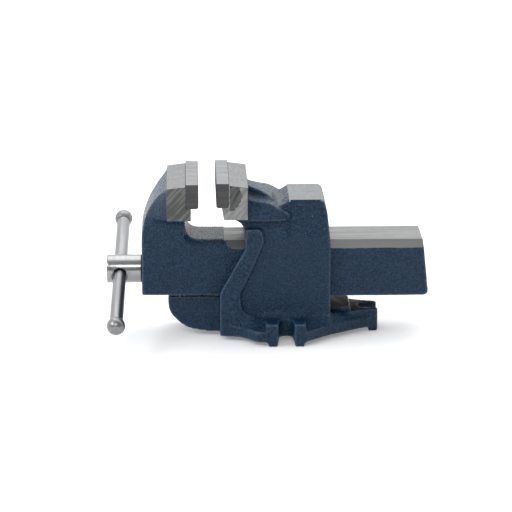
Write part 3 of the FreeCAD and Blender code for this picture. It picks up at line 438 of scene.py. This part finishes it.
GROUND_IRON = bare_metal("ground_iron", (0.215, 0.215, 0.215), (0.15, 0.15, 0.15), (90.0, 42.0, 0.0),
                         spacing=1.5, depth=0.06, contrast=0.08, side_contrast=0.5)
GROUND_EDGE = bare_metal("ground_edge", (0.215, 0.215, 0.215), (0.25, 0.25, 0.25), (90.0, 42.0, 0.0),
                         spacing=1.5, depth=0.06, contrast=0.08, side_contrast=0.35)
PLATE_STEEL = bare_metal("plate_steel", (0.25, 0.25, 0.255), (0.075, 0.075, 0.077), (0.0, 0.0, 90.0),
                         depth=0.01, contrast=0.06, side_contrast=0.15)
SLIDE_IRON = bare_metal("slide_iron", (0.23, 0.23, 0.225), (0.15, 0.15, 0.145), (0.0, 0.0, 90.0),
                        depth=0.02, contrast=0.1)
ROUGH_IRON = bare_metal("rough_iron", (0.20, 0.20, 0.20), (0.11, 0.11, 0.11), (90.0, 30.0, 0.0),
                        (0.5, 0.7), depth=0.3, contrast=0.6)
LUG_IRON = bare_metal("lug_iron", (0.065, 0.058, 0.055), (0.05, 0.045, 0.042), (0.0, 0.0, 20.0),
                      (0.6, 0.8), spacing=0.25, depth=0.08, contrast=0.75)
TURNED_STEEL = bare_metal("turned_steel", (0.34, 0.34, 0.345), (0.32, 0.32, 0.325),
                          roughness=(0.2, 0.28), depth=0.001, contrast=0.06, stretch=(1.0, 1.0, 28.0))
SATIN_STEEL = bare_metal("satin_steel", (0.27, 0.27, 0.275), (0.25, 0.25, 0.255), (17.0, 0.0, 0.0),
                         (0.3, 0.42), depth=0.002, contrast=0.12)
BLACK_STEEL = bare_metal("black_steel", (0.07, 0.07, 0.075), (0.05, 0.05, 0.055), roughness=(0.35, 0.55))
RAW_IRON = bare_metal("raw_iron", (0.20, 0.20, 0.20), (0.15, 0.15, 0.15), (0.0, 0.0, 90.0), (0.45, 0.65),
                      spacing=0.6, depth=0.06)
SPRING_STEEL = bare_metal("spring_steel", (0.3, 0.3, 0.31), (0.24, 0.24, 0.25), roughness=(0.25, 0.4))
print("materials:", [material.name for material in bpy.data.materials])

# %% [markdown]
# The castings. Iron poured into sand has no sharp edge anywhere: outer edges are round and inner corners
# are filled. Rounding every edge of the CAD solid one by one would be slow and would break where three of
# them meet. A voxel remesh of a copy, then a few rounds of smoothing, does it everywhere at once. Where a
# cutter passes later, extra metal goes on first, as a foundry leaves it, so that the crisp cut reaches
# sound metal right to its edge.

# %% Casting helpers
VOXEL = 1.35
SMOOTHING_ROUNDS = 3
UNEVEN_SIZE = 13.0
UNEVEN_DEPTH = 0.35
RAGGED_SIZE = 3.5
RAGGED_DEPTH = 1.2
WELD = 0.01

unevenness = bpy.data.textures.new("uneven skin", "CLOUDS")
unevenness.noise_scale = UNEVEN_SIZE * MM
raggedness = bpy.data.textures.new("ragged skin", "CLOUDS")
raggedness.noise_scale = RAGGED_SIZE * MM


def sand_casting(name, node, extra_metal):
    """A CAD node with extra metal, remeshed, softened and made a little uneven."""
    bm = bmesh.new()
    bm.from_mesh(nodes[node].data)
    bmesh.ops.remove_doubles(bm, verts=bm.verts, dist=WELD * MM)
    for lump in extra_metal:
        bm.from_mesh(lump.data)
        bpy.data.objects.remove(lump)
    casting = piece(bm, name)
    skin = casting.modifiers.new("skin", "REMESH")
    skin.mode = "VOXEL"
    skin.voxel_size = VOXEL * MM
    soft = casting.modifiers.new("soft edges", "SMOOTH")
    soft.factor = 0.5
    soft.iterations = SMOOTHING_ROUNDS
    waves = casting.modifiers.new("uneven skin", "DISPLACE")
    waves.texture = unevenness
    waves.texture_coords = "LOCAL"
    waves.strength = UNEVEN_DEPTH * MM
    waves.mid_level = 0.5
    return settled(casting)


def jaw_block(name, face_x, seat_z, back, lean):
    """The milled block behind a plate, with the ledge that the plate stands on; back is 1 or -1."""
    bottom = seat_z - BLOCK_DROP - BLOCK_PROUD
    back_x = face_x + back * (BLOCK_DEPTH + BLOCK_PROUD)
    outline = [
        (face_x, seat_z),
        (face_x - back * (LEDGE_DEPTH + lean), seat_z),
        (face_x - back * LEDGE_DEPTH, bottom),
        (back_x, bottom),
        (back_x, seat_z + PLATE_HEIGHT - BLOCK_BACK_FALL),
        (face_x, seat_z + PLATE_HEIGHT - BLOCK_FRONT_FALL),
    ]
    return side_prism(name, outline, HALF_JAW, bevel=BLOCK_EDGE)


def finish_faces(made, materials, finish):
    """Gives each face the material that finish(centre in mm, normal) picks."""
    made.data.materials.clear()
    for material in materials:
        made.data.materials.append(material)
    for polygon in made.data.polygons:
        polygon.material_index = finish(polygon.center / MM, polygon.normal)


# %% [markdown]
# The fixed casting. The tunnel is filled before the remesh and cut again afterwards, because its walls are
# milled and guide the slide with 0.15 mm to spare. Its mouth is relieved at the top corners, where the end
# of the cut on the slide comes in when the jaws meet. The anvil is planed flat, the tops of the rear lug and
# of the platform are faced, and the pads and the rim under the base are ground to stand flat on a bench.
# The block behind the jaw plate is joined on crisp.

# %% Fixed casting
FAR_OUT = 80.0
TUNNEL_X = (-90, 60)
FILLING = 3
HOLLOW_SIZE = (16.0, 2.6, 17.5)
HOLLOW_TILT = 14
PAINTED, GROUND, MILLED, FACED, ROUGH = range(5)


def slide_outline(gap):
    """The milled section of the slide in Y and Z, larger by gap on every side."""
    half, low, high = HALF_SLIDE + gap, SLIDE_BOTTOM - gap, SLIDE_TOP + gap
    shoulder = high - SLIDE_CHAMFER
    return [(-half, low), (half, low), (half, shoulder), (half - SLIDE_CHAMFER, high),
            (-half + SLIDE_CHAMFER, high), (-half, shoulder)]


def ground_hollow():
    """The ragged scoop next to the plate, where the grinder did not reach the cast skin."""
    bm = bmesh.new()
    bmesh.ops.create_icosphere(bm, subdivisions=5, radius=MM)
    bmesh.ops.scale(bm, vec=HOLLOW_SIZE, verts=bm.verts)
    tilt = Matrix.Rotation(math.radians(HOLLOW_TILT), 3, "Y")
    bmesh.ops.rotate(bm, cent=(0, 0, 0), matrix=tilt, verts=bm.verts)
    centre = Vector((FIXED_BLOCK_X - 0.5, -HALF_JAW - 1.5, fixed_plate_low.z + 11.0))
    bmesh.ops.translate(bm, verts=bm.verts, vec=centre * MM)
    hollow = piece(bm, "hollow")
    ragged = hollow.modifiers.new("ragged border", "DISPLACE")
    ragged.texture = raggedness
    ragged.texture_coords = "LOCAL"
    ragged.strength = RAGGED_DEPTH * MM
    ragged.mid_level = 0.5
    return settled(hollow)


tunnel_filling = side_prism("filling", [
    (-64.0, SLIDE_BOTTOM - FILLING), (43.0, SLIDE_BOTTOM - FILLING), (43.0, SLIDE_TOP + FILLING),
    (-38.5, SLIDE_TOP + FILLING), (-38.5, SLIDE_TOP - 6), (-64.0, SLIDE_BOTTOM + 9),
], HALF_SLIDE + FILLING)
anvil_metal = block("anvil metal", (ANVIL_FRONT_X + 0.5, -HALF_ANVIL + 0.2, ANVIL_TOP - 4),
                    (35.0, HALF_ANVIL - 0.2, ANVIL_TOP + 3))
fixed_casting = sand_casting("fixed_casting", "fixed_jaw_body", [tunnel_filling, anvil_metal])
relief_side = HALF_SLIDE + GUIDE_CLEARANCE
milled_away = [
    end_prism("tunnel", slide_outline(GUIDE_CLEARANCE), *TUNNEL_X),
    block("mouth relief", (TUNNEL_X[0], -relief_side, SHOULDER_Z - MOUTH_RELIEF_GAP),
          (MOUTH_RELIEF_X, relief_side, SLIDE_TOP + GUIDE_CLEARANCE)),
    block("anvil", (0.5, -FAR_OUT, ANVIL_TOP), (60, FAR_OUT, 170)),
    block("lug", (REAR_LUG_X, -FAR_OUT, REAR_LUG_TOP), (110, FAR_OUT, 40)),
    block("platform", (BODY_REAR_X + 1.2, -FAR_OUT, PLATFORM_TOP), (REAR_LUG_X, FAR_OUT, 42)),
    block("bench", (-150, -FAR_OUT, -20), (120, FAR_OUT, SEAT_GROUND)),
]
for cutter in milled_away:
    combined(fixed_casting, cutter, "DIFFERENCE")
combined(fixed_casting, jaw_block("block", FIXED_BLOCK_X, fixed_plate_low.z, 1, 2.0), "UNION")
combined(fixed_casting, ground_hollow(), "DIFFERENCE")


def fixed_finish(centre, normal):
    """Bare iron on the milled faces and in the rough hollow beside the plate, paint on all the rest."""
    block_bottom = fixed_plate_low.z - BLOCK_DROP
    if centre.z > block_bottom - 0.2 and centre.x < FIXED_BLOCK_X + BLOCK_DEPTH + 0.1:
        sunk_in_side = -HALF_JAW + 0.02 < centre.y < -HALF_JAW + 3 and normal.y < -0.3
        behind_plate = centre.x > FIXED_BLOCK_X + 1 and centre.z > block_bottom + 1
        return ROUGH if sunk_in_side and behind_plate and abs(normal.z) < 0.9 else GROUND
    if centre.z > ANVIL_TOP - 2.2 and normal.z > 0.35 and centre.x > ANVIL_FRONT_X - 0.3:
        return GROUND
    inside = abs(centre.y) < HALF_SLIDE + 0.2 and -67 < centre.x < 46
    if inside and SLIDE_BOTTOM - 0.3 < centre.z < SLIDE_TOP + 0.3:
        return MILLED
    if centre.z < SEAT_GROUND + 0.02 and normal.z < -0.9:
        return MILLED
    faced = abs(centre.z - REAR_LUG_TOP) < 0.02 or abs(centre.z - PLATFORM_TOP) < 0.02
    return FACED if faced and normal.z > 0.95 and centre.x > BODY_REAR_X else PAINTED


finish_faces(fixed_casting, [BODY_ENAMEL, GROUND_EDGE, RAW_IRON, LUG_IRON, ROUGH_IRON], fixed_finish)
crisp(fixed_casting, flat=(GROUND_EDGE, RAW_IRON))
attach(fixed_casting, "body")
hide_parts("fixed_jaw_body")
print("fixed casting:", len(fixed_casting.data.polygons), "faces")

# %% [markdown]
# The sliding casting. The long slide is milled on top and along both upper edges, from the mark where the
# cutter stopped back to the tail. The cutter is round, so the edge cut ends in a curved run-out. A wedge
# alone would end in a step, so the wedge is first trimmed by a bar with a drum-shaped end.

# %% Sliding casting
def edge_cut(side):
    """What the cutter takes off one upper edge of the slide."""
    edge = side * HALF_SLIDE
    wedge = end_prism("wedge", [
        (edge, SHOULDER_Z), (edge + side * 10, SHOULDER_Z), (edge + side * 10, SLIDE_TOP + 6),
        (edge - side * (SLIDE_CHAMFER + 6), SLIDE_TOP + 6),
    ], CUTTER_START_X - 2, jaw_high.x + 6)
    arc = [math.radians(180 + 90 * i / 12) for i in range(13)]
    path = [(CUTTER_X + CUTTER_RADIUS * math.cos(a), CUTTER_Z + CUTTER_RADIUS * math.sin(a)) for a in arc]
    path += [(jaw_high.x + 5, SHOULDER_Z), (jaw_high.x + 5, CUTTER_Z)]
    return combined(wedge, side_prism("sweep", path, 60), "INTERSECT")


tail_top_x = jaw_high.x - 6.4
turn = [math.radians(90 * i / 10) for i in range(11)]
round_middle = HALF_SLIDE - CAST_ROUND
right_round = [(round_middle + CAST_ROUND * math.cos(a), CAST_TOP - CAST_ROUND * (1 - math.sin(a)))
               for a in turn]
left_round = [(-y, z) for y, z in reversed(right_round)]
runout_metal = end_prism("run-out metal", [(-28, 88), (28, 88)] + right_round + left_round,
                         CUTTER_START_X - 3, CUTTER_X + 1)
flat_metal = block("top metal", (CUTTER_START_X + 2, -22, SLIDE_TOP - 3), (tail_top_x, 22, SLIDE_TOP + 3))
edge_metal = block("edge metal", (CUTTER_X, -HALF_SLIDE + 0.05, SLIDE_TOP - 9),
                   (tail_top_x, HALF_SLIDE - 0.05, SLIDE_TOP + 3))
sliding_casting = sand_casting("sliding_casting", "sliding_jaw", [flat_metal, edge_metal, runout_metal])
top_cut = block("top cut", (CUTTER_START_X, -60, SLIDE_TOP), (200, 60, 115))
combined(sliding_casting, top_cut, "DIFFERENCE")
for side in (-1, 1):
    combined(sliding_casting, edge_cut(side), "DIFFERENCE")
combined(sliding_casting, jaw_block("block", SLIDING_BLOCK_X, sliding_plate_low.z, -1, 0.0), "UNION")


def sliding_finish(centre, normal):
    """Bare iron on the block behind the plate and on the milled top of the slide, paint on the rest."""
    block_bottom = sliding_plate_low.z - BLOCK_DROP
    if centre.z > block_bottom - 0.2 and centre.x > SLIDING_BLOCK_X - BLOCK_DEPTH - 0.1:
        return GROUND
    on_top = abs(centre.z - SLIDE_TOP) < 0.03
    on_chamfer = abs(abs(centre.y) + centre.z - HALF_SLIDE - SHOULDER_Z) < 0.05
    from_drum = math.hypot(centre.x - CUTTER_X, centre.z - CUTTER_Z)
    on_runout = abs(from_drum - CUTTER_RADIUS) < 0.2 and centre.x < CUTTER_X
    cut = centre.x > CUTTER_START_X - 0.1 and centre.z > SHOULDER_Z - 0.02 and normal.z > 0.1
    return MILLED if cut and (on_top or on_chamfer or on_runout) else PAINTED


finish_faces(sliding_casting, [JAW_ENAMEL, GROUND_IRON, SLIDE_IRON], sliding_finish)
crisp(sliding_casting, flat=(GROUND_IRON, SLIDE_IRON))
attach(sliding_casting, "sliding_jaw")
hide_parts("sliding_jaw")
print("sliding casting:", len(sliding_casting.data.polygons), "faces")

# %% [markdown]
# The jaw plates. Their gripping faces are milled with crossing grooves that leave rows of small pyramids.
# A bump could draw them, but real teeth also show in the outline and in the mesh itself. Poking every
# square of a grid lifts its middle into a pyramid. The grid is turned by 45 degrees, so that the points stand
# in diamonds. The serrated slab is then trimmed by the plate's own bevelled outline, and the screw holes are
# sunk through the teeth.

# %% Jaw plates
TOOTH_PITCH = 1.9
TOOTH_DEPTH = 0.7
PLATE_CORNER = 2.5
SCREW_SPACING = 50.0
EDGE_BREAK = 0.3
SCREW_SINK = 0.8
SCREW_HEAD = 7.55
SCREW_SHANK = 4.05


def serrated_slab(face_x, middle_z, into):
    """A slab wider than the plate, with pyramids that reach the gripping face."""
    bm = bmesh.new()
    count = int(112 / TOOTH_PITCH)
    bmesh.ops.create_grid(bm, x_segments=count, y_segments=count, size=TOOTH_PITCH * MM * count / 2)
    bmesh.ops.rotate(bm, cent=(0, 0, 0), matrix=Matrix.Rotation(math.radians(45), 3, "Z"), verts=bm.verts)
    top = bm.faces[:]
    rim = [edge for edge in bm.edges if edge.is_boundary]
    back = bmesh.ops.extrude_edge_only(bm, edges=rim)["geom"]
    back_verts = [part for part in back if isinstance(part, bmesh.types.BMVert)]
    back_edges = [part for part in back if isinstance(part, bmesh.types.BMEdge)]
    bmesh.ops.translate(bm, verts=back_verts, vec=(0, 0, -20 * MM))
    bmesh.ops.contextual_create(bm, geom=back_edges)
    bmesh.ops.poke(bm, faces=top, offset=TOOTH_DEPTH * MM)
    facing = Vector((0, 0, 1)).rotation_difference(Vector((-into, 0, 0))).to_matrix()
    bmesh.ops.rotate(bm, cent=(0, 0, 0), matrix=facing, verts=bm.verts)
    shift = Vector((face_x + into * TOOTH_DEPTH, 0, middle_z))
    bmesh.ops.translate(bm, verts=bm.verts, vec=shift * MM)
    return piece(bm, "slab")


def jaw_plate(name, body, node, low, high, into):
    """A serrated plate in the place of its CAD node; into is the way from the gripping face into the jaw."""
    arc = [math.radians(90 * i / 8) for i in range(9)]
    left = [(low.x + PLATE_CORNER * (1 - math.cos(a)), low.z + PLATE_CORNER * (1 - math.sin(a))) for a in arc]
    right = [(high.x - PLATE_CORNER * (1 - math.cos(a)), low.z + PLATE_CORNER * (1 - math.sin(a)))
             for a in reversed(arc)]
    outline = left + right + [(high.x, high.z), (low.x, high.z)]
    plate = side_prism(name, outline, HALF_JAW)
    edges = plate.modifiers.new("broken edges", "BEVEL")
    edges.width = EDGE_BREAK * MM
    edges.segments = 2
    edges.limit_method = "ANGLE"
    edges.angle_limit = math.radians(40)
    settled(plate)
    face_x = low.x if into > 0 else high.x
    middle_z = (low.z + high.z) / 2
    combined(plate, serrated_slab(face_x, middle_z, into), "INTERSECT")
    sunk = [(-2, 0), (-2, SCREW_HEAD), (SCREW_SINK, SCREW_HEAD),
            (SCREW_SINK + SCREW_HEAD - SCREW_SHANK, SCREW_SHANK), (20, SCREW_SHANK), (20, 0)]
    for y in (-SCREW_SPACING / 2, SCREW_SPACING / 2):
        combined(plate, turned("sink", sunk, (face_x, y, middle_z), (into, 0, 0), 48), "DIFFERENCE")
    finish_faces(plate, [PLATE_STEEL], lambda centre, normal: 0)
    crisp(plate, flat=(PLATE_STEEL,))
    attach(plate, body)
    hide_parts(node)
    print(name, len(plate.data.polygons), "faces")


jaw_plate("fixed_plate", "body", "fixed_jaw_plate", fixed_plate_low, fixed_plate_high, 1)
jaw_plate("sliding_plate", "sliding_jaw", "sliding_jaw_plate", sliding_plate_low, sliding_plate_high, -1)

# %% [markdown]
# The lead screw. The head and the plain neck are turned. The thread is a real one: a trapezoid is spun round
# the axis while it moves on, which the spin operator does when it gets a step along the axis.
# The ridge is a closed solid that bites into the core, and the two are joined.

# %% Lead screw
THREAD_LEAD = 5.0
THREAD_OUTSIDE = 10.0
THREAD_ROOT = 7.9
THREAD_START_X = -99.0
THREAD_END_X = screw_high.x - 3.0
HEAD_RADIUS = 14.5
HEAD_FRONT_X = screw_low.x
HEAD_BACK_X = -145.6
HEAD_LENGTH = HEAD_BACK_X - HEAD_FRONT_X
NECK_RADIUS = THREAD_OUTSIDE - 0.03
NECK_LENGTH = THREAD_START_X - HEAD_FRONT_X
SCREW_LENGTH = screw_high.x - HEAD_FRONT_X
HANDLE_HOLE = 8.5
TURN_STEPS = 40


def thread_ridge():
    """One long helical ridge round the X axis of the screw."""
    bm = bmesh.new()
    half_root, half_crest = 0.36 * THREAD_LEAD, 0.17 * THREAD_LEAD
    corners = [(-half_root, THREAD_ROOT - 0.4), (half_root, THREAD_ROOT - 0.4),
               (half_crest, THREAD_OUTSIDE), (-half_crest, THREAD_OUTSIDE)]
    verts = [bm.verts.new((x * MM, radius * MM, 0)) for x, radius in corners]
    face = bm.faces.new(verts)
    turns = int((THREAD_END_X - THREAD_START_X) / THREAD_LEAD) - 1
    bmesh.ops.spin(bm, geom=[face] + face.edges[:] + verts, cent=(0, 0, 0), axis=(1, 0, 0),
                   dvec=(THREAD_LEAD * MM / TURN_STEPS, 0, 0), angle=2 * math.pi * turns,
                   steps=turns * TURN_STEPS)
    bmesh.ops.translate(bm, verts=bm.verts, vec=Vector((THREAD_START_X + 3, 0, SCREW_AXIS.z)) * MM)
    return piece(bm, "ridge")


screw_profile = [
    (0, 0), (0, 1.6), (0.9, 2.4), (0.9, 2.6), (0, 3.4), (0, HEAD_RADIUS - 1.4), (0.45, HEAD_RADIUS - 0.4),
    (1.4, HEAD_RADIUS), (HEAD_LENGTH - 1.0, HEAD_RADIUS), (HEAD_LENGTH, HEAD_RADIUS - 1.0),
    (HEAD_LENGTH, NECK_RADIUS), (NECK_LENGTH, NECK_RADIUS), (NECK_LENGTH + 1.5, THREAD_ROOT),
    (SCREW_LENGTH - 1.5, THREAD_ROOT), (SCREW_LENGTH, THREAD_ROOT - 1.5), (SCREW_LENGTH, 0),
]
lead_screw = turned("screw", screw_profile, (HEAD_FRONT_X, 0, SCREW_AXIS.z), (1, 0, 0), 96)
combined(lead_screw, thread_ridge(), "UNION")
hole_profile = [(-20, 0), (-20, HANDLE_HOLE), (20, HANDLE_HOLE), (20, 0)]
combined(lead_screw, turned("cross hole", hole_profile, SCREW_AXIS, HANDLE_AXIS, 64), "DIFFERENCE")
finish_faces(lead_screw, [TURNED_STEEL], lambda centre, normal: 0)
crisp(lead_screw, 28)
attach(lead_screw, "screw")
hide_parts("lead_screw")
print("lead screw:", len(lead_screw.data.polygons), "faces")

# %% [markdown]
# The handle. A plain bar slides through the head and a ball is fixed on each end. Each ball has a flat with
# the small centre mark that the lathe's tailstock left, and a short collar towards the bar. Turning each
# profile round the bar's own axis gives them as a lathe does, and round from every side.

# %% Handle
BAR_RADIUS = 6.6
KNOB_RADIUS = 9.1
KNOB_FLAT = 1.3
KNOB_STEPS = 24
COLLAR = 0.9
MARK_RADIUS = 1.5
MARK_DEPTH = 0.9
BAR_CHAMFER = 1.0
BAR_IN_KNOB = 4
knob_boxes = {end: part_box("handle_knob_" + end) for end in ("near", "far")}
knob_middles = {end: (low + high) / 2 / MM for end, (low, high) in knob_boxes.items()}


def along_handle(point):
    """The place of a point along the handle's axis, from the axis of the screw."""
    return (point - SCREW_AXIS).dot(HANDLE_AXIS)


def handle_knob(end, outward):
    """A turned ball whose flat end looks outwards."""
    centre = SCREW_AXIS + HANDLE_AXIS * along_handle(knob_middles[end])
    flat_at = KNOB_RADIUS - KNOB_FLAT
    flat_radius = math.sqrt(KNOB_RADIUS ** 2 - flat_at ** 2)
    start_angle = math.asin((BAR_RADIUS + COLLAR) / KNOB_RADIUS)
    end_angle = math.pi - math.asin(flat_radius / KNOB_RADIUS)
    collar_at = -KNOB_RADIUS * math.cos(start_angle) - COLLAR
    profile = [(collar_at, 0), (collar_at, BAR_RADIUS + 0.5)]
    for i in range(KNOB_STEPS + 1):
        angle = start_angle + (end_angle - start_angle) * i / KNOB_STEPS
        profile.append((-KNOB_RADIUS * math.cos(angle), KNOB_RADIUS * math.sin(angle)))
    face_at = flat_at + 0.02
    profile += [(face_at, flat_radius - 0.3), (face_at, MARK_RADIUS), (flat_at - MARK_DEPTH, 0)]
    knob = turned("knob_" + end, profile, centre, HANDLE_AXIS * outward, 72)
    finish_faces(knob, [SATIN_STEEL], lambda centre, normal: 0)
    crisp(knob, 25)
    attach(knob, "handle")
    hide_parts("handle_knob_" + end)


def bar_profile(length):
    """The bar with a small chamfer at both ends."""
    return [(0, 0), (0, BAR_RADIUS - BAR_CHAMFER), (BAR_CHAMFER, BAR_RADIUS),
            (length - BAR_CHAMFER, BAR_RADIUS), (length, BAR_RADIUS - BAR_CHAMFER), (length, 0)]


near_along, far_along = [along_handle(knob_middles[end]) for end in ("near", "far")]
bar_start = SCREW_AXIS + HANDLE_AXIS * (far_along - BAR_IN_KNOB)
bar_length = near_along - far_along + 2 * BAR_IN_KNOB
handle_bar = turned("bar", bar_profile(bar_length), bar_start, HANDLE_AXIS, 64)
finish_faces(handle_bar, [SATIN_STEEL], lambda centre, normal: 0)
crisp(handle_bar, 25)
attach(handle_bar, "handle")
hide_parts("handle_bar")
handle_knob("near", 1)
handle_knob("far", -1)
print("handle: knobs", round(near_along - far_along, 1), "mm apart")

# %% [markdown]
# The hidden hardware keeps its CAD shape: socket screws, the nut with its bolt and washer, and the
# spring, washer and split pin behind the front wall. Each is sunk in a plate or inside a casting, where
# a closer model would hardly show, so it only gets its own finish.

# %% Finishes for the CAD nodes that stay
KEPT = {
    "fixed_plate_screws": BLACK_STEEL,
    "sliding_plate_screws": BLACK_STEEL,
    "main_nut": RAW_IRON,
    "nut_bolt": BLACK_STEEL,
    "nut_washer": BLACK_STEEL,
    "thrust_spring": SPRING_STEEL,
    "spring_washer": BLACK_STEEL,
    "cotter_pin": SPRING_STEEL,
}
for node, material in KEPT.items():
    nodes[node].data.materials.clear()
    nodes[node].data.materials.append(material)
print("kept nodes:", sorted(KEPT))

# %% [markdown]
# The stage: a pale floor that runs out of view on all sides, a white tent that is bright behind and dim in
# front, a soft light overhead, a strip in front that draws a line along round steel, and a key light from
# the left that brings out the mouldings. A long lens keeps the lines of the slide nearly parallel.

# %% Floor, lights and camera
FLOOR_HALF = 6.0
FLOOR_GLOW = 0.22
TENT_FRONT = 0.35
TENT_BACK = 1.4
LIGHTS = [
    ("overhead", (0.05, 0.5, 1.25), (0, 0, 0.05), 1.6, 1.2, 8),
    ("front strip", (-0.35, -1.9, 1.5), (-0.05, 0, 0.08), 1.5, 0.3, 14),
    ("key", (-1.5, -0.75, 1.15), (0, 0, 0.08), 0.7, 0.7, 14),
]
CAMERA_PLACE = (-0.0990, -2.4775, 0.7865)
CAMERA_TURN = (74.02, 0.0, -1.62)
CAMERA_LENS = 177.3
SENSOR_WIDTH = 36.0

floor_bm = bmesh.new()
bmesh.ops.create_grid(floor_bm, x_segments=1, y_segments=1, size=FLOOR_HALF)
floor = piece(floor_bm, "floor")
floor_material, floor_tree, floor_shader = new_material("pale_floor")
cloudy = noise(floor_tree, object_place(floor_tree), 3.0)
floor_colour = mixed(floor_tree, cloudy, (0.80, 0.80, 0.80), (0.83, 0.83, 0.83))
floor_tree.links.new(floor_colour, floor_shader["Base Color"])
floor_shader["Roughness"].default_value = 0.9
floor_shader["Emission Color"].default_value = (1.0, 1.0, 1.0, 1.0)
floor_shader["Emission Strength"].default_value = FLOOR_GLOW
floor.data.materials.append(floor_material)


def soft_light(name, place, target, width, depth, power):
    """A rectangular light that looks at a point."""
    data = bpy.data.lights.new(name, "AREA")
    data.shape = "RECTANGLE"
    data.size = width
    data.size_y = depth
    data.energy = power
    light = bpy.data.objects.new(name, data)
    light.location = place
    light.rotation_euler = (Vector(target) - Vector(place)).to_track_quat("-Z", "Y").to_euler()
    bpy.context.scene.collection.objects.link(light)


for light_values in LIGHTS:
    soft_light(*light_values)

world = bpy.data.worlds.new("studio")
world.use_nodes = True
sky = world.node_tree
direction = sky.nodes.new("ShaderNodeTexCoord").outputs["Generated"]
towards_back = linked(sky, "ShaderNodeSeparateXYZ", {0: direction}).outputs[1]
sky_light = ramped(sky, towards_back, -0.6, 0.5, TENT_FRONT, TENT_BACK)
sky.links.new(sky_light, sky.nodes["Background"].inputs["Strength"])
sky.nodes["Background"].inputs["Color"].default_value = (0.97, 0.985, 1.0, 1.0)
bpy.context.scene.world = world
bpy.context.scene.view_settings.view_transform = "Standard"

camera_data = bpy.data.cameras.new("camera")
camera_data.sensor_width = SENSOR_WIDTH
camera_data.lens = CAMERA_LENS
camera = bpy.data.objects.new("camera", camera_data)
camera.location = CAMERA_PLACE
camera.rotation_euler = [math.radians(angle) for angle in CAMERA_TURN]
bpy.context.scene.collection.objects.link(camera)
bpy.context.scene.camera = camera
print("lights:", [values[0] for values in LIGHTS])
